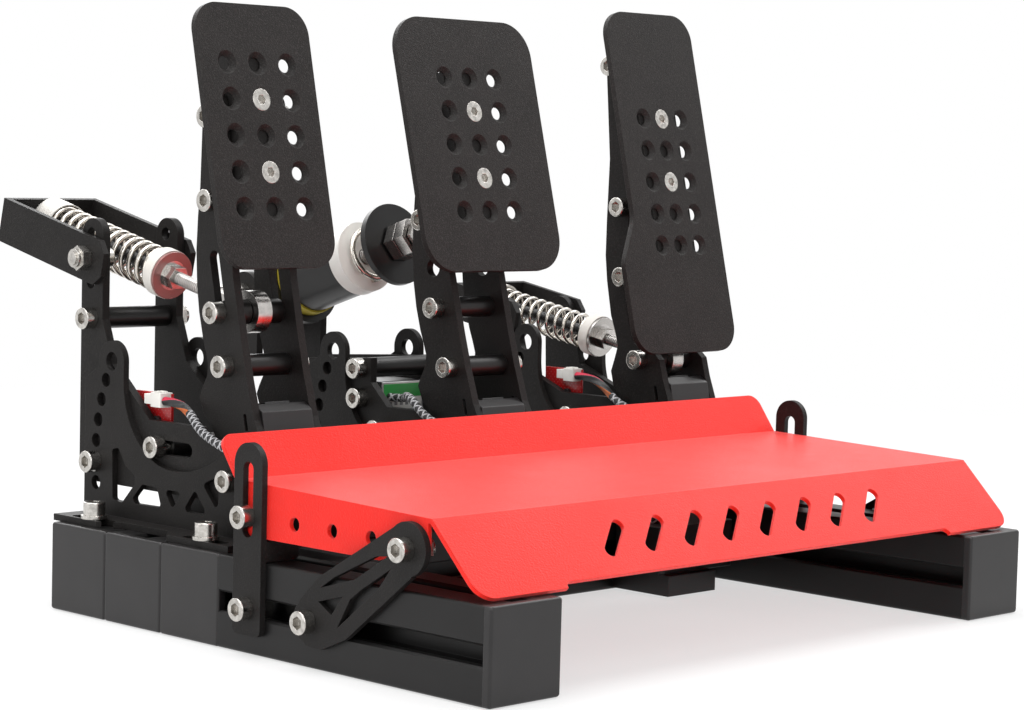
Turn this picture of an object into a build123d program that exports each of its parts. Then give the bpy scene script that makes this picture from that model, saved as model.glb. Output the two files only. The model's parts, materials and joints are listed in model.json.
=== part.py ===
from build123d import *

import os
from dataclasses import dataclass
from math import atan2, cos, degrees, dist, hypot, pi, radians, sin, sqrt, tan

os.makedirs("parts", exist_ok=True)

# Axes: +X to the driver's right, +Y away from the driver, +Z up, in millimetres.
# The origin is on the floor, at the middle of the outline seen from above.
# Layout places below are (y, z): y from the front of the base, z from the floor.

# Base frame of slotted profile
profile_size = 40
profile_length = 350
rail_length = 160
profile_corner = 1.5
slot_opening = 8.2
slot_mouth = 10.4
slot_lip = 4.5
slot_inner_width = 20
slot_depth = 12.3
slot_floor_width = 9
core_bore = 6.8
cap_thickness = 4
cap_edge = 1.2
cap_peg_length = 8
cross_profile_count = 3

# Fits
fit_clearance = 0.1
seat_gap = 0.05
face_gap = 0.3
running_clearance = 0.05
cut_overrun = 2

# Fasteners
screw_diameter = 6
head_diameter = 10
head_height = 6
head_edge = 0.6
socket_width = 5
socket_depth = 3
nut_width = 10
nut_height = 5
nut_collar_height = 1.8
nut_collar_diameter = 8.6
screw_end = 1
washer_diameter = 12
washer_thickness = 1.6
slot_nut_width = 7.8
slot_nut_flange = 15
slot_nut_length = 9.8
slot_nut_height = 6
slot_nut_neck = 2.6

# Module plates
arm_gap = 29
arm_thickness = 4
side_plate_gap = 39
side_plate_thickness = 4
base_plate_thickness = 3
foot_height = 3
foot_reach = 17
foot_waist_reach = 9
foot_front_y = 163
foot_front_end_y = 205
foot_rear_start_y = 256
foot_slot_length = 28
foot_slot_width = 6.6
foot_screw_reach = 12
foot_bend_radius = 3

# Pedal pivot and the linkage points
pivot_y = 181.5
pivot_z = 68
pivot_sleeve_diameter = 10
bush_diameter = 14
bush_flange_diameter = 17
bush_flange_thickness = 0.7
arm_eye_radius = 12
side_eye_radius = 11
spacer_diameter = 10
spacer_bore = 6.3

# Base plate outline
mast_y = 268.7
mast_z = 114
mast_radius = 9.3
mast_hole = 8.5
mast_rear_y = 288
mast_shoulder_z = 105
mast_slope_z = 111
bowl_radius = 37
plate_front_top_z = 81
plate_crest_heading = (-1, 0.7)
plate_crest_reach = 3
arc_hole = 6.5
arc_hole_radius = 98.3
arc_hole_start = -6.3
arc_hole_pitch = 5.68
arc_hole_count = 7
rear_screw_hole = 1

# Truss windows of a base plate, as shares of the foot's length and of the plate's lower band
truss_low_z = 48
truss_band = 20
truss_shares = (
    ((0.834, 1.285), (0.796, 1.335), (0.753, 0.95), (0.697, 0.76), (0.696, 0.57), (0.77, 0.10), (0.827, 0.125)),
    ((0.652, 0.59), (0.566, 0.56), (0.541, 0.135), (0.696, 0.12), (0.709, 0.24)),
    ((0.524, 0.56), (0.422, 0.56), (0.478, 0.145)),
    ((0.351, 0.665), (0.280, 0.155), (0.418, 0.135)),
    ((0.309, 0.82), (0.242, 1.0), (0.217, 0.80), (0.225, 0.26)),
)
truss_corner_radius = 1.6

# Side plates
side_rear_y = 296
side_front_top_y = 203.5
side_front_top_z = 85
side_shelf_z = 89
side_shelf_lead = 4.5
clutch_upright_radius = 8
clutch_upright_z = 170.5
clutch_upright_flare_z = 112
clutch_perch_z = 160
perch_hole_pitch = 11
throttle_perch_z = 126.5
perch_y = 289
cross_tube_z = 132.3
stop_slot_y = 229
stop_slot_z = 77.5
stop_slot_length = 32
stop_slot_width = 6.6
stop_screw_y = 236
brake_ramp_length = 12
brake_shelf_y = 244
brake_shelf_z = 112
brake_tail_z = 106
brake_tail_depth = 8
brake_cross_y = 251
brake_cross_z = 106.5

# Brake cylinder trunnion
brake_trunnion_y = 341
brake_trunnion_radius = 11


@dataclass(frozen=True)
class Pedal:
    """One pedal with the sizes in which the three differ; u runs up the arm, v to the rear."""

    name: str
    centre_x: float
    lean: float
    arm_top_u: float
    arm_top_v: float
    arm_top_radius: float
    face_v: float
    face_low_u: float
    face_high_u: float
    face_half_width: float
    face_corner: float
    hole_column: float
    hole_row: float
    hole_middle_u: float
    face_screw_rows: tuple
    bracket_low_u: float
    bracket_high_u: float
    bracket_screws: tuple
    spacer_screws: tuple
    rod_screw: tuple
    cover_top_u: float


clutch = Pedal(
    name="clutch", centre_x=-131.5, lean=12.6,
    arm_top_u=165, arm_top_v=-8, arm_top_radius=6.5,
    face_v=-20.5, face_low_u=90, face_high_u=208.5, face_half_width=32.5, face_corner=13,
    hole_column=17.2, hole_row=16.3, hole_middle_u=149.2, face_screw_rows=(1, -1),
    bracket_low_u=104, bracket_high_u=186,
    bracket_screws=((123.7, -1.4), (160, -8.5)), spacer_screws=((50.5, 3.1),),
    rod_screw=(74.6, 4.0), cover_top_u=32,
)
brake = Pedal(
    name="brake", centre_x=3.5, lean=14.5,
    arm_top_u=165, arm_top_v=-8, arm_top_radius=6.5,
    face_v=-22.9, face_low_u=86.3, face_high_u=209.3, face_half_width=45, face_corner=17,
    hole_column=16.7, hole_row=16.3, hole_middle_u=147.7, face_screw_rows=(1, -1),
    bracket_low_u=104, bracket_high_u=184,
    bracket_screws=((160, -8.5),), spacer_screws=((73.9, 3.1), (44.6, 0.4)),
    rod_screw=(116.4, 2.0), cover_top_u=27,
)
throttle = Pedal(
    name="throttle", centre_x=139.5, lean=13.5,
    arm_top_u=194, arm_top_v=-9.4, arm_top_radius=6.2,
    face_v=-19.8, face_low_u=43, face_high_u=220, face_half_width=32.5, face_corner=13.5,
    hole_column=14.3, hole_row=16.5, hole_middle_u=131.4, face_screw_rows=(2, 0),
    bracket_low_u=93, bracket_high_u=203,
    bracket_screws=((122, -1.0), (193.9, -9.4)), spacer_screws=((86.6, 3.9),),
    rod_screw=(43.2, 2.4), cover_top_u=32,
)
pedals = (clutch, brake, throttle)

# Arm outline of the clutch and the brake, as shares of the lug's reach and of the arm's height
arm_reach = 25
arm_rear_shares = (
    (0.48, 0.040), (0.80, 0.163), (0.94, 0.186), (1.00, 0.233), (0.90, 0.253),
    (0.72, 0.282), (0.65, 0.311), (0.67, 0.345), (0.705, 0.384), (0.72, 0.45), (0.69, 0.517),
    (0.585, 0.610), (0.425, 0.695), (0.265, 0.767), (-0.06, 0.953),
)
arm_front_shares = (
    (-0.58, 0.965), (-0.40, 0.60), (-0.32, 0.517), (-0.328, 0.349), (-0.352, 0.25),
    (-0.412, 0.145), (-0.48, 0.105), (-0.48, 0.0),
)
# Throttle arm outline, as shares of the same reach and of its own height
throttle_rear_shares = (
    (0.48, 0.035), (0.83, 0.139), (0.95, 0.165), (0.956, 0.204), (0.80, 0.235), (0.675, 0.262),
    (0.675, 0.292), (0.73, 0.345), (0.70, 0.435), (0.636, 0.50), (0.456, 0.59), (0.132, 0.74),
    (-0.130, 0.955),
)
throttle_front_shares = (
    (-0.62, 0.965), (-0.50, 0.80), (-0.30, 0.66), (-0.20, 0.60), (0.10, 0.48), (0.26, 0.375),
    (0.275, 0.31), (0.22, 0.262), (0.0, 0.235), (-0.30, 0.222), (-0.40, 0.205),
    (-0.415, 0.155), (-0.472, 0.10), (-0.48, 0.0),
)
adjust_slot_top_u = 99
adjust_slot_width = 6.4
adjust_slot_offset = -1.1
brake_spare_hole = 8.5
brake_spare_hole_u = 93.1
brake_spare_hole_v = 2.4
arm_slit_width = 2
arm_slit_length = 8
arm_slit_u = 24.5
arm_slit_v = -4.4

# Pedal faces
face_thickness = 3
face_hole = 6.2
face_sink = 10.5
face_sink_angle = 90
face_screw_length = 10
face_screw_socket = 4
throttle_taper_u = 112.5
throttle_foot_u = 90
throttle_foot_reach = 44.5
bracket_thickness = 3
bracket_flange_v = 6
bracket_slack = 0.2
cover_low_u = 11
cover_front_v = -11.5
cover_rear_v = 3
cover_slack = 0.2
cover_chamfer = 4
cover_rib_width = 14
cover_rib_height = 1

# Rods and rod ends
rod_diameter = 6
rod_end_diameter = 19
rod_end_width = 8
rod_end_shank = 10
rod_end_shank_length = 22
rod_nut_height = 5
rod_side_gap = 0.3

# Clutch spring unit, lengths measured along its rod from the rod end
clutch_eye_clearance = 1.35
clutch_cup_start = 59.8
clutch_cup_length = 13
clutch_front_cup_length = 6
clutch_spring_turns = 15
clutch_spring_diameter = 21
clutch_wire = 2.5
clutch_cup_diameter = 23
clutch_perch_depth = 66
clutch_perch_half_height = 10.5

# Throttle spring unit
throttle_eye_clearance = 0.75
throttle_cup_start = 46.2
throttle_cup_length = 11
throttle_front_cup_length = 6
throttle_spring_turns = 13
throttle_spring_diameter = 18.6
throttle_wire = 2
throttle_cup_diameter = 21.7
throttle_perch_depth = 33
throttle_perch_half_height = 9.5

# Shared by both spring units
cup_wall_gap = 0.35
close_turn_gap = 0.7
coil_samples = 32
cup_floor = 3
cup_hub_wall = 1.6
cup_bore_gap = 0.3
washer_front_thickness = 1.5
perch_thickness = 3
perch_front = 13
perch_wing_gap = 0.3
perch_chamfer = 5
rod_tail = 2

# Brake unit, lengths measured along its rod from the rod end
brake_eye_clearance = 0.2
brake_nut_start = 27
brake_nut_width = 17
brake_nut_height = 6.5
brake_disc_start = 42.3
brake_disc_diameter = 41
brake_disc_thickness = 3.4
brake_spring_length = 20.3
brake_spring_diameter = 28
brake_wire = 3.2
brake_spring_turns = 2.75
brake_ring_diameter = 35.6
brake_ring_length = 8
brake_cylinder_diameter = 34
brake_sleeve_length = 34
elastomer_diameter = 36
elastomer_length = 6
brake_flange_diameter = 43
brake_flange_length = 4
brake_tail_length = 47
brake_liner_diameter = 15
brake_trunnion_depth = 10.5
brake_rod_diameter = 8
brake_lock_width = 12
brake_disc_bore_gap = 0.05
brake_rod_depth = 90

# Heel plate, its folds given as (y, z) and its width
heel_thickness = 2
heel_front_fold_y = 34
heel_front_fold_z = 70.1
heel_rear_fold_y = 152
heel_rear_fold_z = 73.4
heel_lip_y = 165
heel_lip_z = 91
heel_toe_y = 5.6
heel_toe_z = 41.8
heel_toe_notch = 3
heel_toe_notch_half_width = 130
heel_toe_corner = 9
heel_lip_corner = 6
heel_side_low_z = 50
heel_side_low_y = 64
heel_side_end_z = 57.5
heel_side_hole = 6
heel_side_hole_z = 58.3
heel_side_hole_y = 68.9
heel_side_hole_pitch = 23.3
heel_side_hole_count = 3
heel_relief = 4
slat_count = 8
slat_length = 24
slat_width = 6
slat_pitch = 25
slat_slant = 48
slat_rise_share = 0.52

# Heel plate brackets and struts
heel_bracket_thickness = 3
heel_bracket_y = 142
heel_bracket_width = 18
heel_bracket_low_z = 8.5
heel_bracket_high_z = 90
heel_bracket_corner = 3
heel_bracket_slot_low_z = 50
heel_bracket_slot_high_z = 82
heel_bracket_slot_width = 6.6
heel_bracket_screw_z = 58.9
heel_wing_reach = 21
heel_wing_low_z = 40.3
heel_wing_high_z = 49
heel_wing_corner = 2.5
strut_thickness = 3
strut_low_y = 102.5
strut_low_z = 20
strut_high_y = 45
strut_high_z = 57
strut_low_radius = 9.3
strut_high_radius = 11
strut_half_width = 13
strut_outline_shares = (
    (-0.11, 0.46), (0.0, 0.78), (0.22, 1.0), (1.02, 0.82), (0.95, -0.84), (0.25, -1.22),
    (0.015, -1.02), (-0.10, -0.585),
)
strut_window_shares = (
    ((0.21, 0.67), (0.35, 0.68), (0.745, 0.41), (0.835, 0.17), (0.51, 0.21)),
    ((0.145, 0.35), (0.36, -0.01), (0.21, -0.29)),
    ((0.215, -0.75), (0.41, -0.23), (0.535, -0.19), (0.82, -0.22), (0.66, -0.51)),
)

# Long bolts that run through the cross profiles into the cores of the side profiles
frame_bolt_diameter = 6.6
frame_bolt_head = 13
frame_bolt_head_height = 8
frame_bolt_sink = 14
frame_bolt_grip = 28

# Controller box under the heel plate
box_left_x = 71
box_width = 54
box_front_y = 132
box_height = 23
box_low_z = 11
box_edge = 3
plug_width = 35
plug_height = 10
plug_reach = 4.6

# Sensors
board_length = 26
board_height = 17
board_thickness = 1.6
board_y = 236
board_z = 84
board_standoff = 2
board_post_diameter = 5
board_post_inset = 4
plug_block_length = 13
plug_block_height = 6
plug_block_depth = 6
lead_diameter = 4
arc_share = 0.45
cell_width = 28
cell_length = 34
cell_height = 15
cell_front_y = 246
cell_low_z = 84.5
cell_screw_reach = 4.5

# Routes of the leads: (x off the module's middle, y, z), then (x, y, z) of their ends
sensor_lead_start = [(-21, 235.9, 98), (-21, 226, 98)]
brake_lead_start = [(-9, 245.9, 92), (-9, 233.5, 92), (-17.5, 225.5, 95)]
sensor_lead_shoulder = [(-24, 214, 94.5), (-28.5, 202, 88.5), (-30, 190, 84.5), (-30, 177, 81), (-27, 165, 73)]
lead_ends = {
    "clutch": [
        (-151, 154, 62), (-138, 143, 54), (-116, 135, 50), (-78, 139, 51), (-30, 134, 50),
        (18, 139, 51), (58, 143, 56), (75, 145, 52), (81, 146, 43), (81, 146, 34.1),
    ],
    "brake": [
        (-17, 154, 64), (0, 144, 60), (28, 137, 60), (60, 142, 62), (84, 146, 59), (91, 147, 46),
        (91, 147, 34.1),
    ],
    "throttle": [(112, 155, 62), (106, 149, 48), (106, 149, 34.1)],
}

# Worked out sizes
base_width = profile_length + 2 * cap_thickness
half_base = base_width / 2
rail_back_y = cap_thickness + rail_length
half_profile = profile_size / 2
side_plate_inner = side_plate_gap / 2
side_plate_outer = side_plate_inner + side_plate_thickness
base_plate_outer = side_plate_outer + base_plate_thickness
arm_inner = arm_gap / 2
arm_outer = arm_inner + arm_thickness
side_bottom_z = pivot_z - side_eye_radius
cross_tube_y = side_rear_y - clutch_upright_radius
screw_radius = screw_diameter / 2
slot_nut_depth = slot_lip + slot_nut_height - slot_nut_neck
screw_hole = screw_diameter + 2 * fit_clearance
foot_rear_y = mast_rear_y


def pedal_point(pedal, u, v):
    """Layout place (y, z) of a point on a pedal, u up the arm and v to the rear of the pivot."""
    lean = radians(pedal.lean)
    return (pivot_y + u * sin(lean) + v * cos(lean), pivot_z + u * cos(lean) - v * sin(lean))


def angle_between(start, end):
    """Slope in radians of the line between two layout places."""
    return atan2(end[1] - start[1], end[0] - start[0])


clutch_rod_point = pedal_point(clutch, *clutch.rod_screw)
brake_rod_point = pedal_point(brake, *brake.rod_screw)
throttle_rod_point = pedal_point(throttle, *throttle.rod_screw)
brake_slope = -18.13
clutch_slope = degrees(angle_between(clutch_rod_point, (perch_y, clutch_perch_z)))
throttle_slope = degrees(angle_between(throttle_rod_point, (perch_y, throttle_perch_z)))
brake_ring_start = brake_disc_start + brake_disc_thickness + brake_spring_length
brake_sleeve_start = brake_ring_start + brake_ring_length
elastomer_start = brake_sleeve_start + brake_sleeve_length
brake_flange_start = elastomer_start + elastomer_length
brake_tail_start = brake_flange_start + brake_flange_length
brake_unit_length = brake_tail_start + brake_tail_length
brake_trunnion_s = (brake_trunnion_y - brake_rod_point[0]) / cos(radians(brake_slope))
brake_trunnion_z = brake_rod_point[1] + brake_trunnion_s * sin(radians(brake_slope))
rear_end_y = (
    brake_rod_point[0]
    + brake_unit_length * cos(radians(brake_slope))
    - brake_cylinder_diameter / 2 * sin(radians(brake_slope))
)
front_y = -rear_end_y / 2


def save(builder, name):
    """Label a finished sub-part and write its STEP file."""
    builder.part.label = name
    export_step(builder.part, f"parts/{name}.step")


def side_plane(x):
    """Plane at x, seen from the side: local x is the layout's y, local y is its z."""
    return Plane(origin=(x, front_y, 0), x_dir=(0, 1, 0), z_dir=(1, 0, 0))


def pedal_plane(pedal, x):
    """Plane at x off a pedal's middle: local x is v, local y is u."""
    lean = radians(pedal.lean)
    return Plane(
        origin=(pedal.centre_x + x, front_y + pivot_y, pivot_z),
        x_dir=(0, cos(lean), -sin(lean)),
        z_dir=(1, 0, 0),
    )


def face_plane(pedal, v):
    """Plane parallel to a pedal's face, v to the rear of the pivot, looking to the driver."""
    lean = radians(pedal.lean)
    y, z = pedal_point(pedal, 0, v)
    return Plane(
        origin=(pedal.centre_x, front_y + y, z),
        x_dir=(1, 0, 0),
        z_dir=(0, -cos(lean), sin(lean)),
    )


def rod_plane(centre_x, point, slope, s):
    """Plane square to a rod, s along it from its rod end, facing to the rear."""
    a = radians(slope)
    return Plane(
        origin=(centre_x, front_y + point[0] + s * cos(a), point[1] + s * sin(a)),
        x_dir=(1, 0, 0),
        z_dir=(0, cos(a), sin(a)),
    )


def slope_plane(x, point, slope):
    """Plane at x whose local x runs along a rod of the given slope."""
    a = radians(slope)
    return Plane(origin=(x, front_y + point[0], point[1]), x_dir=(0, cos(a), sin(a)), z_dir=(1, 0, 0))


def place(x, y, z, turn):
    """Location in the part's frame from a layout place, with a turn about each axis."""
    return Location((x, front_y + y, z), turn)


def bar(plane, radius, length, bore=0.0, mode=Mode.ADD):
    """Round bar or tube from a plane along its normal, added to the current sub-part."""
    with BuildSketch(plane) as section:
        Circle(radius)
        if bore:
            Circle(bore, mode=Mode.SUBTRACT)
    extrude(section.sketch, amount=length, mode=mode)


def hex_bar(plane, width, length, bore=0.0):
    """Hexagonal bar of a given width across its flats, added to the current sub-part."""
    with BuildSketch(plane) as section:
        RegularPolygon(width / 2, 6, major_radius=False)
        if bore:
            Circle(bore, mode=Mode.SUBTRACT)
    extrude(section.sketch, amount=length)


def cross_tube(centre_x, half_length, y, z, diameter, bore):
    """Tube along X, centred on a module."""
    with BuildSketch(side_plane(centre_x - half_length)) as section:
        with Locations((y, z)):
            Circle(diameter / 2)
            Circle(bore / 2, mode=Mode.SUBTRACT)
    extrude(section.sketch, amount=2 * half_length)


def cap_screw(length):
    """Socket cap screw with its head above the XY plane and its shaft below it."""
    with BuildPart() as screw:
        with BuildSketch(Plane.XY):
            Circle(head_diameter / 2)
        extrude(amount=head_height)
        fillet(screw.edges().group_by(Axis.Z)[-1], head_edge)
        with BuildSketch(Plane.XY.offset(head_height)):
            RegularPolygon(socket_width / 2, 6, major_radius=False)
        extrude(amount=-socket_depth, mode=Mode.SUBTRACT)
        with BuildSketch(Plane.XY):
            Circle(screw_radius)
        extrude(amount=-length)
    return screw.part


def hex_nut():
    """Locking nut standing on the XY plane."""
    with BuildPart() as nut:
        with BuildSketch(Plane.XY):
            RegularPolygon(nut_width / 2, 6, major_radius=False)
            Circle(screw_radius + seat_gap, mode=Mode.SUBTRACT)
        extrude(amount=nut_height)
        with BuildSketch(Plane.XY.offset(nut_height)):
            Circle(nut_collar_diameter / 2)
            Circle(screw_radius + seat_gap, mode=Mode.SUBTRACT)
        extrude(amount=nut_collar_height)
    return nut.part


def washer():
    """Flat washer standing on the XY plane."""
    with BuildPart() as ring:
        with BuildSketch(Plane.XY):
            Circle(washer_diameter / 2)
            Circle(screw_radius + fit_clearance, mode=Mode.SUBTRACT)
        extrude(amount=washer_thickness)
    return ring.part


def slot_nut():
    """Nut that sits under the lips of a slot, its neck in the slot and its top at the XY plane."""
    with BuildPart() as nut:
        with BuildSketch(Plane.XY.offset(-slot_nut_neck - seat_gap)):
            Rectangle(slot_nut_length, slot_nut_width)
        extrude(amount=-(slot_lip - slot_nut_neck))
        with BuildSketch(Plane.XY.offset(-slot_lip - seat_gap)):
            Rectangle(slot_nut_length, slot_nut_flange)
        extrude(amount=-(slot_nut_height - slot_nut_neck))
        with BuildSketch(Plane.XY):
            Circle(screw_radius + seat_gap)
        extrude(amount=-profile_size / 2, mode=Mode.SUBTRACT)
    return nut.part


def through_screws(pedal, half_width, places):
    """Cap screws across a pedal or its chassis, heads to the left and nuts to the right."""
    length = 2 * half_width + nut_height + nut_collar_height + screw_end
    x = pedal.centre_x
    with Locations(*[place(x - half_width - seat_gap, y, z, (0, -90, 0)) for y, z in places]):
        add(cap_screw(length))
    with Locations(*[place(x + half_width + seat_gap, y, z, (0, 90, 0)) for y, z in places]):
        add(hex_nut())


def profile_section(plane):
    """Sketch of the slotted profile's section, centred on a plane."""
    mouth_depth = half_profile - (slot_mouth - slot_opening) / 2
    shoulder = half_profile - slot_lip - slot_nut_neck
    half_outline = [
        (half_profile, slot_mouth / 2), (mouth_depth, slot_opening / 2),
        (half_profile - slot_lip, slot_opening / 2), (half_profile - slot_lip, slot_inner_width / 2),
        (shoulder, slot_inner_width / 2), (half_profile - slot_depth, slot_floor_width / 2),
    ]
    with BuildSketch() as slot:
        with BuildLine():
            Polyline(*half_outline, *[(x, -y) for x, y in reversed(half_outline)], close=True)
        make_face()
    with BuildSketch(plane) as section:
        RectangleRounded(profile_size, profile_size, profile_corner)
        with PolarLocations(0, 4):
            add(slot.sketch, mode=Mode.SUBTRACT)
        Circle(core_bore / 2, mode=Mode.SUBTRACT)
    return section.sketch


def cross_profile_y(index):
    """Layout y of the middle of a cross profile, counted from the front."""
    return rail_back_y + half_profile + index * profile_size


def bolt_bore(side, start_y, is_last):
    """Bore across one cross profile for a frame bolt, widened for the head in the last one."""
    x = side * (half_base - half_profile)
    start = Plane(origin=(x, front_y + start_y, half_profile), x_dir=(1, 0, 0), z_dir=(0, 1, 0))
    bar(start, frame_bolt_diameter / 2 + fit_clearance, profile_size, mode=Mode.SUBTRACT)
    if is_last:
        head = start.offset(profile_size - frame_bolt_sink)
        bar(head, frame_bolt_head / 2 + fit_clearance, frame_bolt_sink, mode=Mode.SUBTRACT)


# Cross profiles, side by side behind the rails
for index, word in enumerate(("front", "middle", "rear")):
    with BuildPart() as cross_profile:
        middle = Plane(
            origin=(-profile_length / 2, front_y + cross_profile_y(index), half_profile),
            x_dir=(0, 1, 0),
            z_dir=(1, 0, 0),
        )
        extrude(profile_section(middle), amount=profile_length)
        for side in (-1, 1):
            bolt_bore(side, cross_profile_y(index) - half_profile, index == cross_profile_count - 1)
    save(cross_profile, f"cross_profile_{word}")

# Side profiles, running forward from the cross profiles
for side, word in ((-1, "left"), (1, "right")):
    with BuildPart() as side_profile:
        start = Plane(
            origin=(side * (half_base - half_profile), front_y + cap_thickness, half_profile),
            x_dir=(1, 0, 0),
            z_dir=(0, 1, 0),
        )
        extrude(profile_section(start), amount=rail_length)
    save(side_profile, f"side_profile_{word}")


def end_cap():
    """Plastic cap lying on the XY plane, its round peg below."""
    with BuildPart() as cap:
        with BuildSketch(Plane.XY):
            RectangleRounded(profile_size, profile_size, profile_corner)
        extrude(amount=cap_thickness)
        fillet(cap.faces().sort_by(Axis.Z)[-1].edges(), cap_edge)
        with BuildSketch(Plane.XY):
            Circle(core_bore / 2 - fit_clearance)
        extrude(amount=-cap_peg_length)
    return cap.part


with BuildPart() as end_caps:
    for side in (-1, 1):
        for index in range(cross_profile_count):
            with Locations(place(
                side * profile_length / 2, cross_profile_y(index), half_profile, (0, side * 90, 0)
            )):
                add(end_cap())
        with Locations(place(side * (half_base - half_profile), cap_thickness, half_profile, (90, 0, 0))):
            add(end_cap())
save(end_caps, "end_caps")


# Module chassis


def foot_side(pedal, side):
    """Side to which a base plate's foot turns; the outermost one turns in to stay on the profile."""
    foot_edge = side * pedal.centre_x + base_plate_outer + foot_reach
    return -side if foot_edge > half_base else side


def foot_screw_places(pedal, side):
    """Centres of the two foot screws of a base plate."""
    turn = foot_side(pedal, side)
    start = side * (base_plate_outer if turn == side else side_plate_outer)
    x = pedal.centre_x + start + turn * foot_screw_reach
    return [(x, cross_profile_y(0)), (x, cross_profile_y(cross_profile_count - 1))]


def arc_hole_place(index):
    """Centre of a tilt adjusting hole, on a circle about the pedal pivot."""
    angle = radians(arc_hole_start + index * arc_hole_pitch)
    return (pivot_y + arc_hole_radius * cos(angle), pivot_z + arc_hole_radius * sin(angle))


rear_screw_place = arc_hole_place(rear_screw_hole)
cell_screw_place = (cell_front_y + cell_screw_reach, cell_low_z + cell_height / 2)
foot_length = foot_rear_y - foot_front_y


def truss_window(shares):
    """Rounded window of a base plate, drawn in the plate's own plane."""
    with BuildSketch() as window:
        with BuildLine():
            Polyline(
                *[(foot_front_y + a * foot_length, truss_low_z + b * truss_band) for a, b in shares],
                close=True,
            )
        make_face()
        fillet(window.vertices(), radius=truss_corner_radius)
    return window


def base_plate(pedal, side):
    """Outer plate of a module with its bent foot, mast and truss windows."""
    turn = foot_side(pedal, side)
    inner_x = pedal.centre_x + side * side_plate_outer
    outer_x = inner_x + side * base_plate_thickness
    bowl_low_z = pivot_z
    mast_front_y = mast_y - mast_radius
    bowl_mid_y = mast_front_y - bowl_radius
    front_top = (pivot_y + plate_crest_reach, plate_front_top_z)
    with BuildPart() as plate:
        with BuildSketch(side_plane(min(inner_x, outer_x))):
            with BuildLine():
                Polyline(
                    (foot_front_y, profile_size), (foot_rear_y, profile_size),
                    (foot_rear_y, mast_shoulder_z),
                    (mast_y + mast_radius * cos(radians(arc_hole_pitch)), mast_slope_z),
                    (mast_y + mast_radius, mast_z),
                )
                ThreePointArc(
                    (mast_y + mast_radius, mast_z), (mast_y, mast_z + mast_radius), (mast_front_y, mast_z)
                )
                Line((mast_front_y, mast_z), (mast_front_y, mast_shoulder_z))
                ThreePointArc(
                    (mast_front_y, mast_shoulder_z),
                    (bowl_mid_y + bowl_radius * sin(pi / 4), mast_shoulder_z - bowl_radius * cos(pi / 4)),
                    (bowl_mid_y, bowl_low_z),
                )
                Spline((bowl_mid_y, bowl_low_z), front_top, tangents=((-1, 0), plate_crest_heading))
                ThreePointArc(
                    front_top,
                    (pivot_y - side_eye_radius * cos(pi / 4), pivot_z + side_eye_radius * sin(pi / 4)),
                    (pivot_y - side_eye_radius - foot_bend_radius, pivot_z - foot_bend_radius),
                )
                Polyline(
                    (pivot_y - side_eye_radius - foot_bend_radius, pivot_z - foot_bend_radius),
                    (foot_front_y, profile_size + foot_height), (foot_front_y, profile_size),
                )
            make_face()
            with Locations(*[arc_hole_place(index) for index in range(arc_hole_count - 1)]):
                Circle(arc_hole / 2, mode=Mode.SUBTRACT)
            with Locations(arc_hole_place(arc_hole_count - 1)):
                Circle(mast_hole / 2, mode=Mode.SUBTRACT)
            with Locations((pivot_y, pivot_z)):
                Circle(screw_hole / 2, mode=Mode.SUBTRACT)
            for shares in truss_shares:
                add(truss_window(shares).sketch, mode=Mode.SUBTRACT)
        extrude(amount=base_plate_thickness)
        foot_start = outer_x if turn == side else inner_x
        waist_x = foot_start + turn * foot_waist_reach
        end_x = foot_start + turn * foot_reach
        with BuildSketch(Plane.XY.offset(profile_size)):
            with BuildLine():
                Polyline(
                    *[
                        (x, front_y + y)
                        for x, y in (
                            (foot_start, foot_front_y), (end_x, foot_front_y), (end_x, foot_front_end_y),
                            (waist_x, foot_front_end_y + foot_waist_reach),
                            (waist_x, foot_rear_start_y - foot_waist_reach),
                            (end_x, foot_rear_start_y), (end_x, foot_rear_y), (foot_start, foot_rear_y),
                        )
                    ],
                    close=True,
                )
            make_face()
            for x, y in foot_screw_places(pedal, side):
                with Locations((x, front_y + y)):
                    SlotOverall(foot_slot_length, foot_slot_width, rotation=90, mode=Mode.SUBTRACT)
        extrude(amount=foot_height)
    return plate


for pedal in pedals:
    for side, word in ((-1, "left"), (1, "right")):
        save(base_plate(pedal, side), f"{pedal.name}_base_plate_{word}")


def eye_bottom():
    """Start of a side plate's outline: its bottom edge, from the rear to the round pivot eye."""
    return [(side_rear_y - side_eye_radius, side_bottom_z), (pivot_y, side_bottom_z)]


def side_plate_outline(pedal):
    """Outline of a side plate above its bottom edge, from the pivot eye round to the rear."""
    eye_top = (pivot_y, pivot_z + side_eye_radius)
    shelf = [
        eye_top, (side_front_top_y, side_front_top_z), (side_front_top_y + side_shelf_lead, side_shelf_z),
    ]
    rear_low = (side_rear_y, side_bottom_z + clutch_upright_radius)
    if pedal is clutch:
        front = side_rear_y - 2 * clutch_upright_radius
        return shelf + [
            (brake_shelf_y, side_shelf_z), (front - clutch_upright_radius, clutch_upright_flare_z),
            (front, cross_tube_z), (front, clutch_upright_z), (side_rear_y, clutch_upright_z), rear_low,
        ]
    if pedal is throttle:
        front = perch_y - throttle_perch_half_height
        return shelf + [
            (brake_shelf_y, side_shelf_z), (front - clutch_upright_radius, side_shelf_z + side_eye_radius),
            (front, throttle_perch_z), (perch_y + throttle_perch_half_height, throttle_perch_z), rear_low,
        ]
    ear_front = brake_trunnion_y - brake_trunnion_radius
    tail_low = brake_tail_z - brake_tail_depth
    return shelf + [
        (brake_shelf_y - brake_ramp_length, side_shelf_z),
        (brake_shelf_y, side_shelf_z + brake_trunnion_radius),
        (brake_shelf_y, brake_shelf_z), (ear_front, brake_tail_z), (ear_front, brake_trunnion_z),
        (brake_trunnion_y + brake_trunnion_radius, brake_trunnion_z),
        (brake_trunnion_y + brake_trunnion_radius / 2, tail_low), (side_rear_y + side_eye_radius, tail_low),
        (side_rear_y, side_shelf_z), rear_low,
    ]


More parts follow.
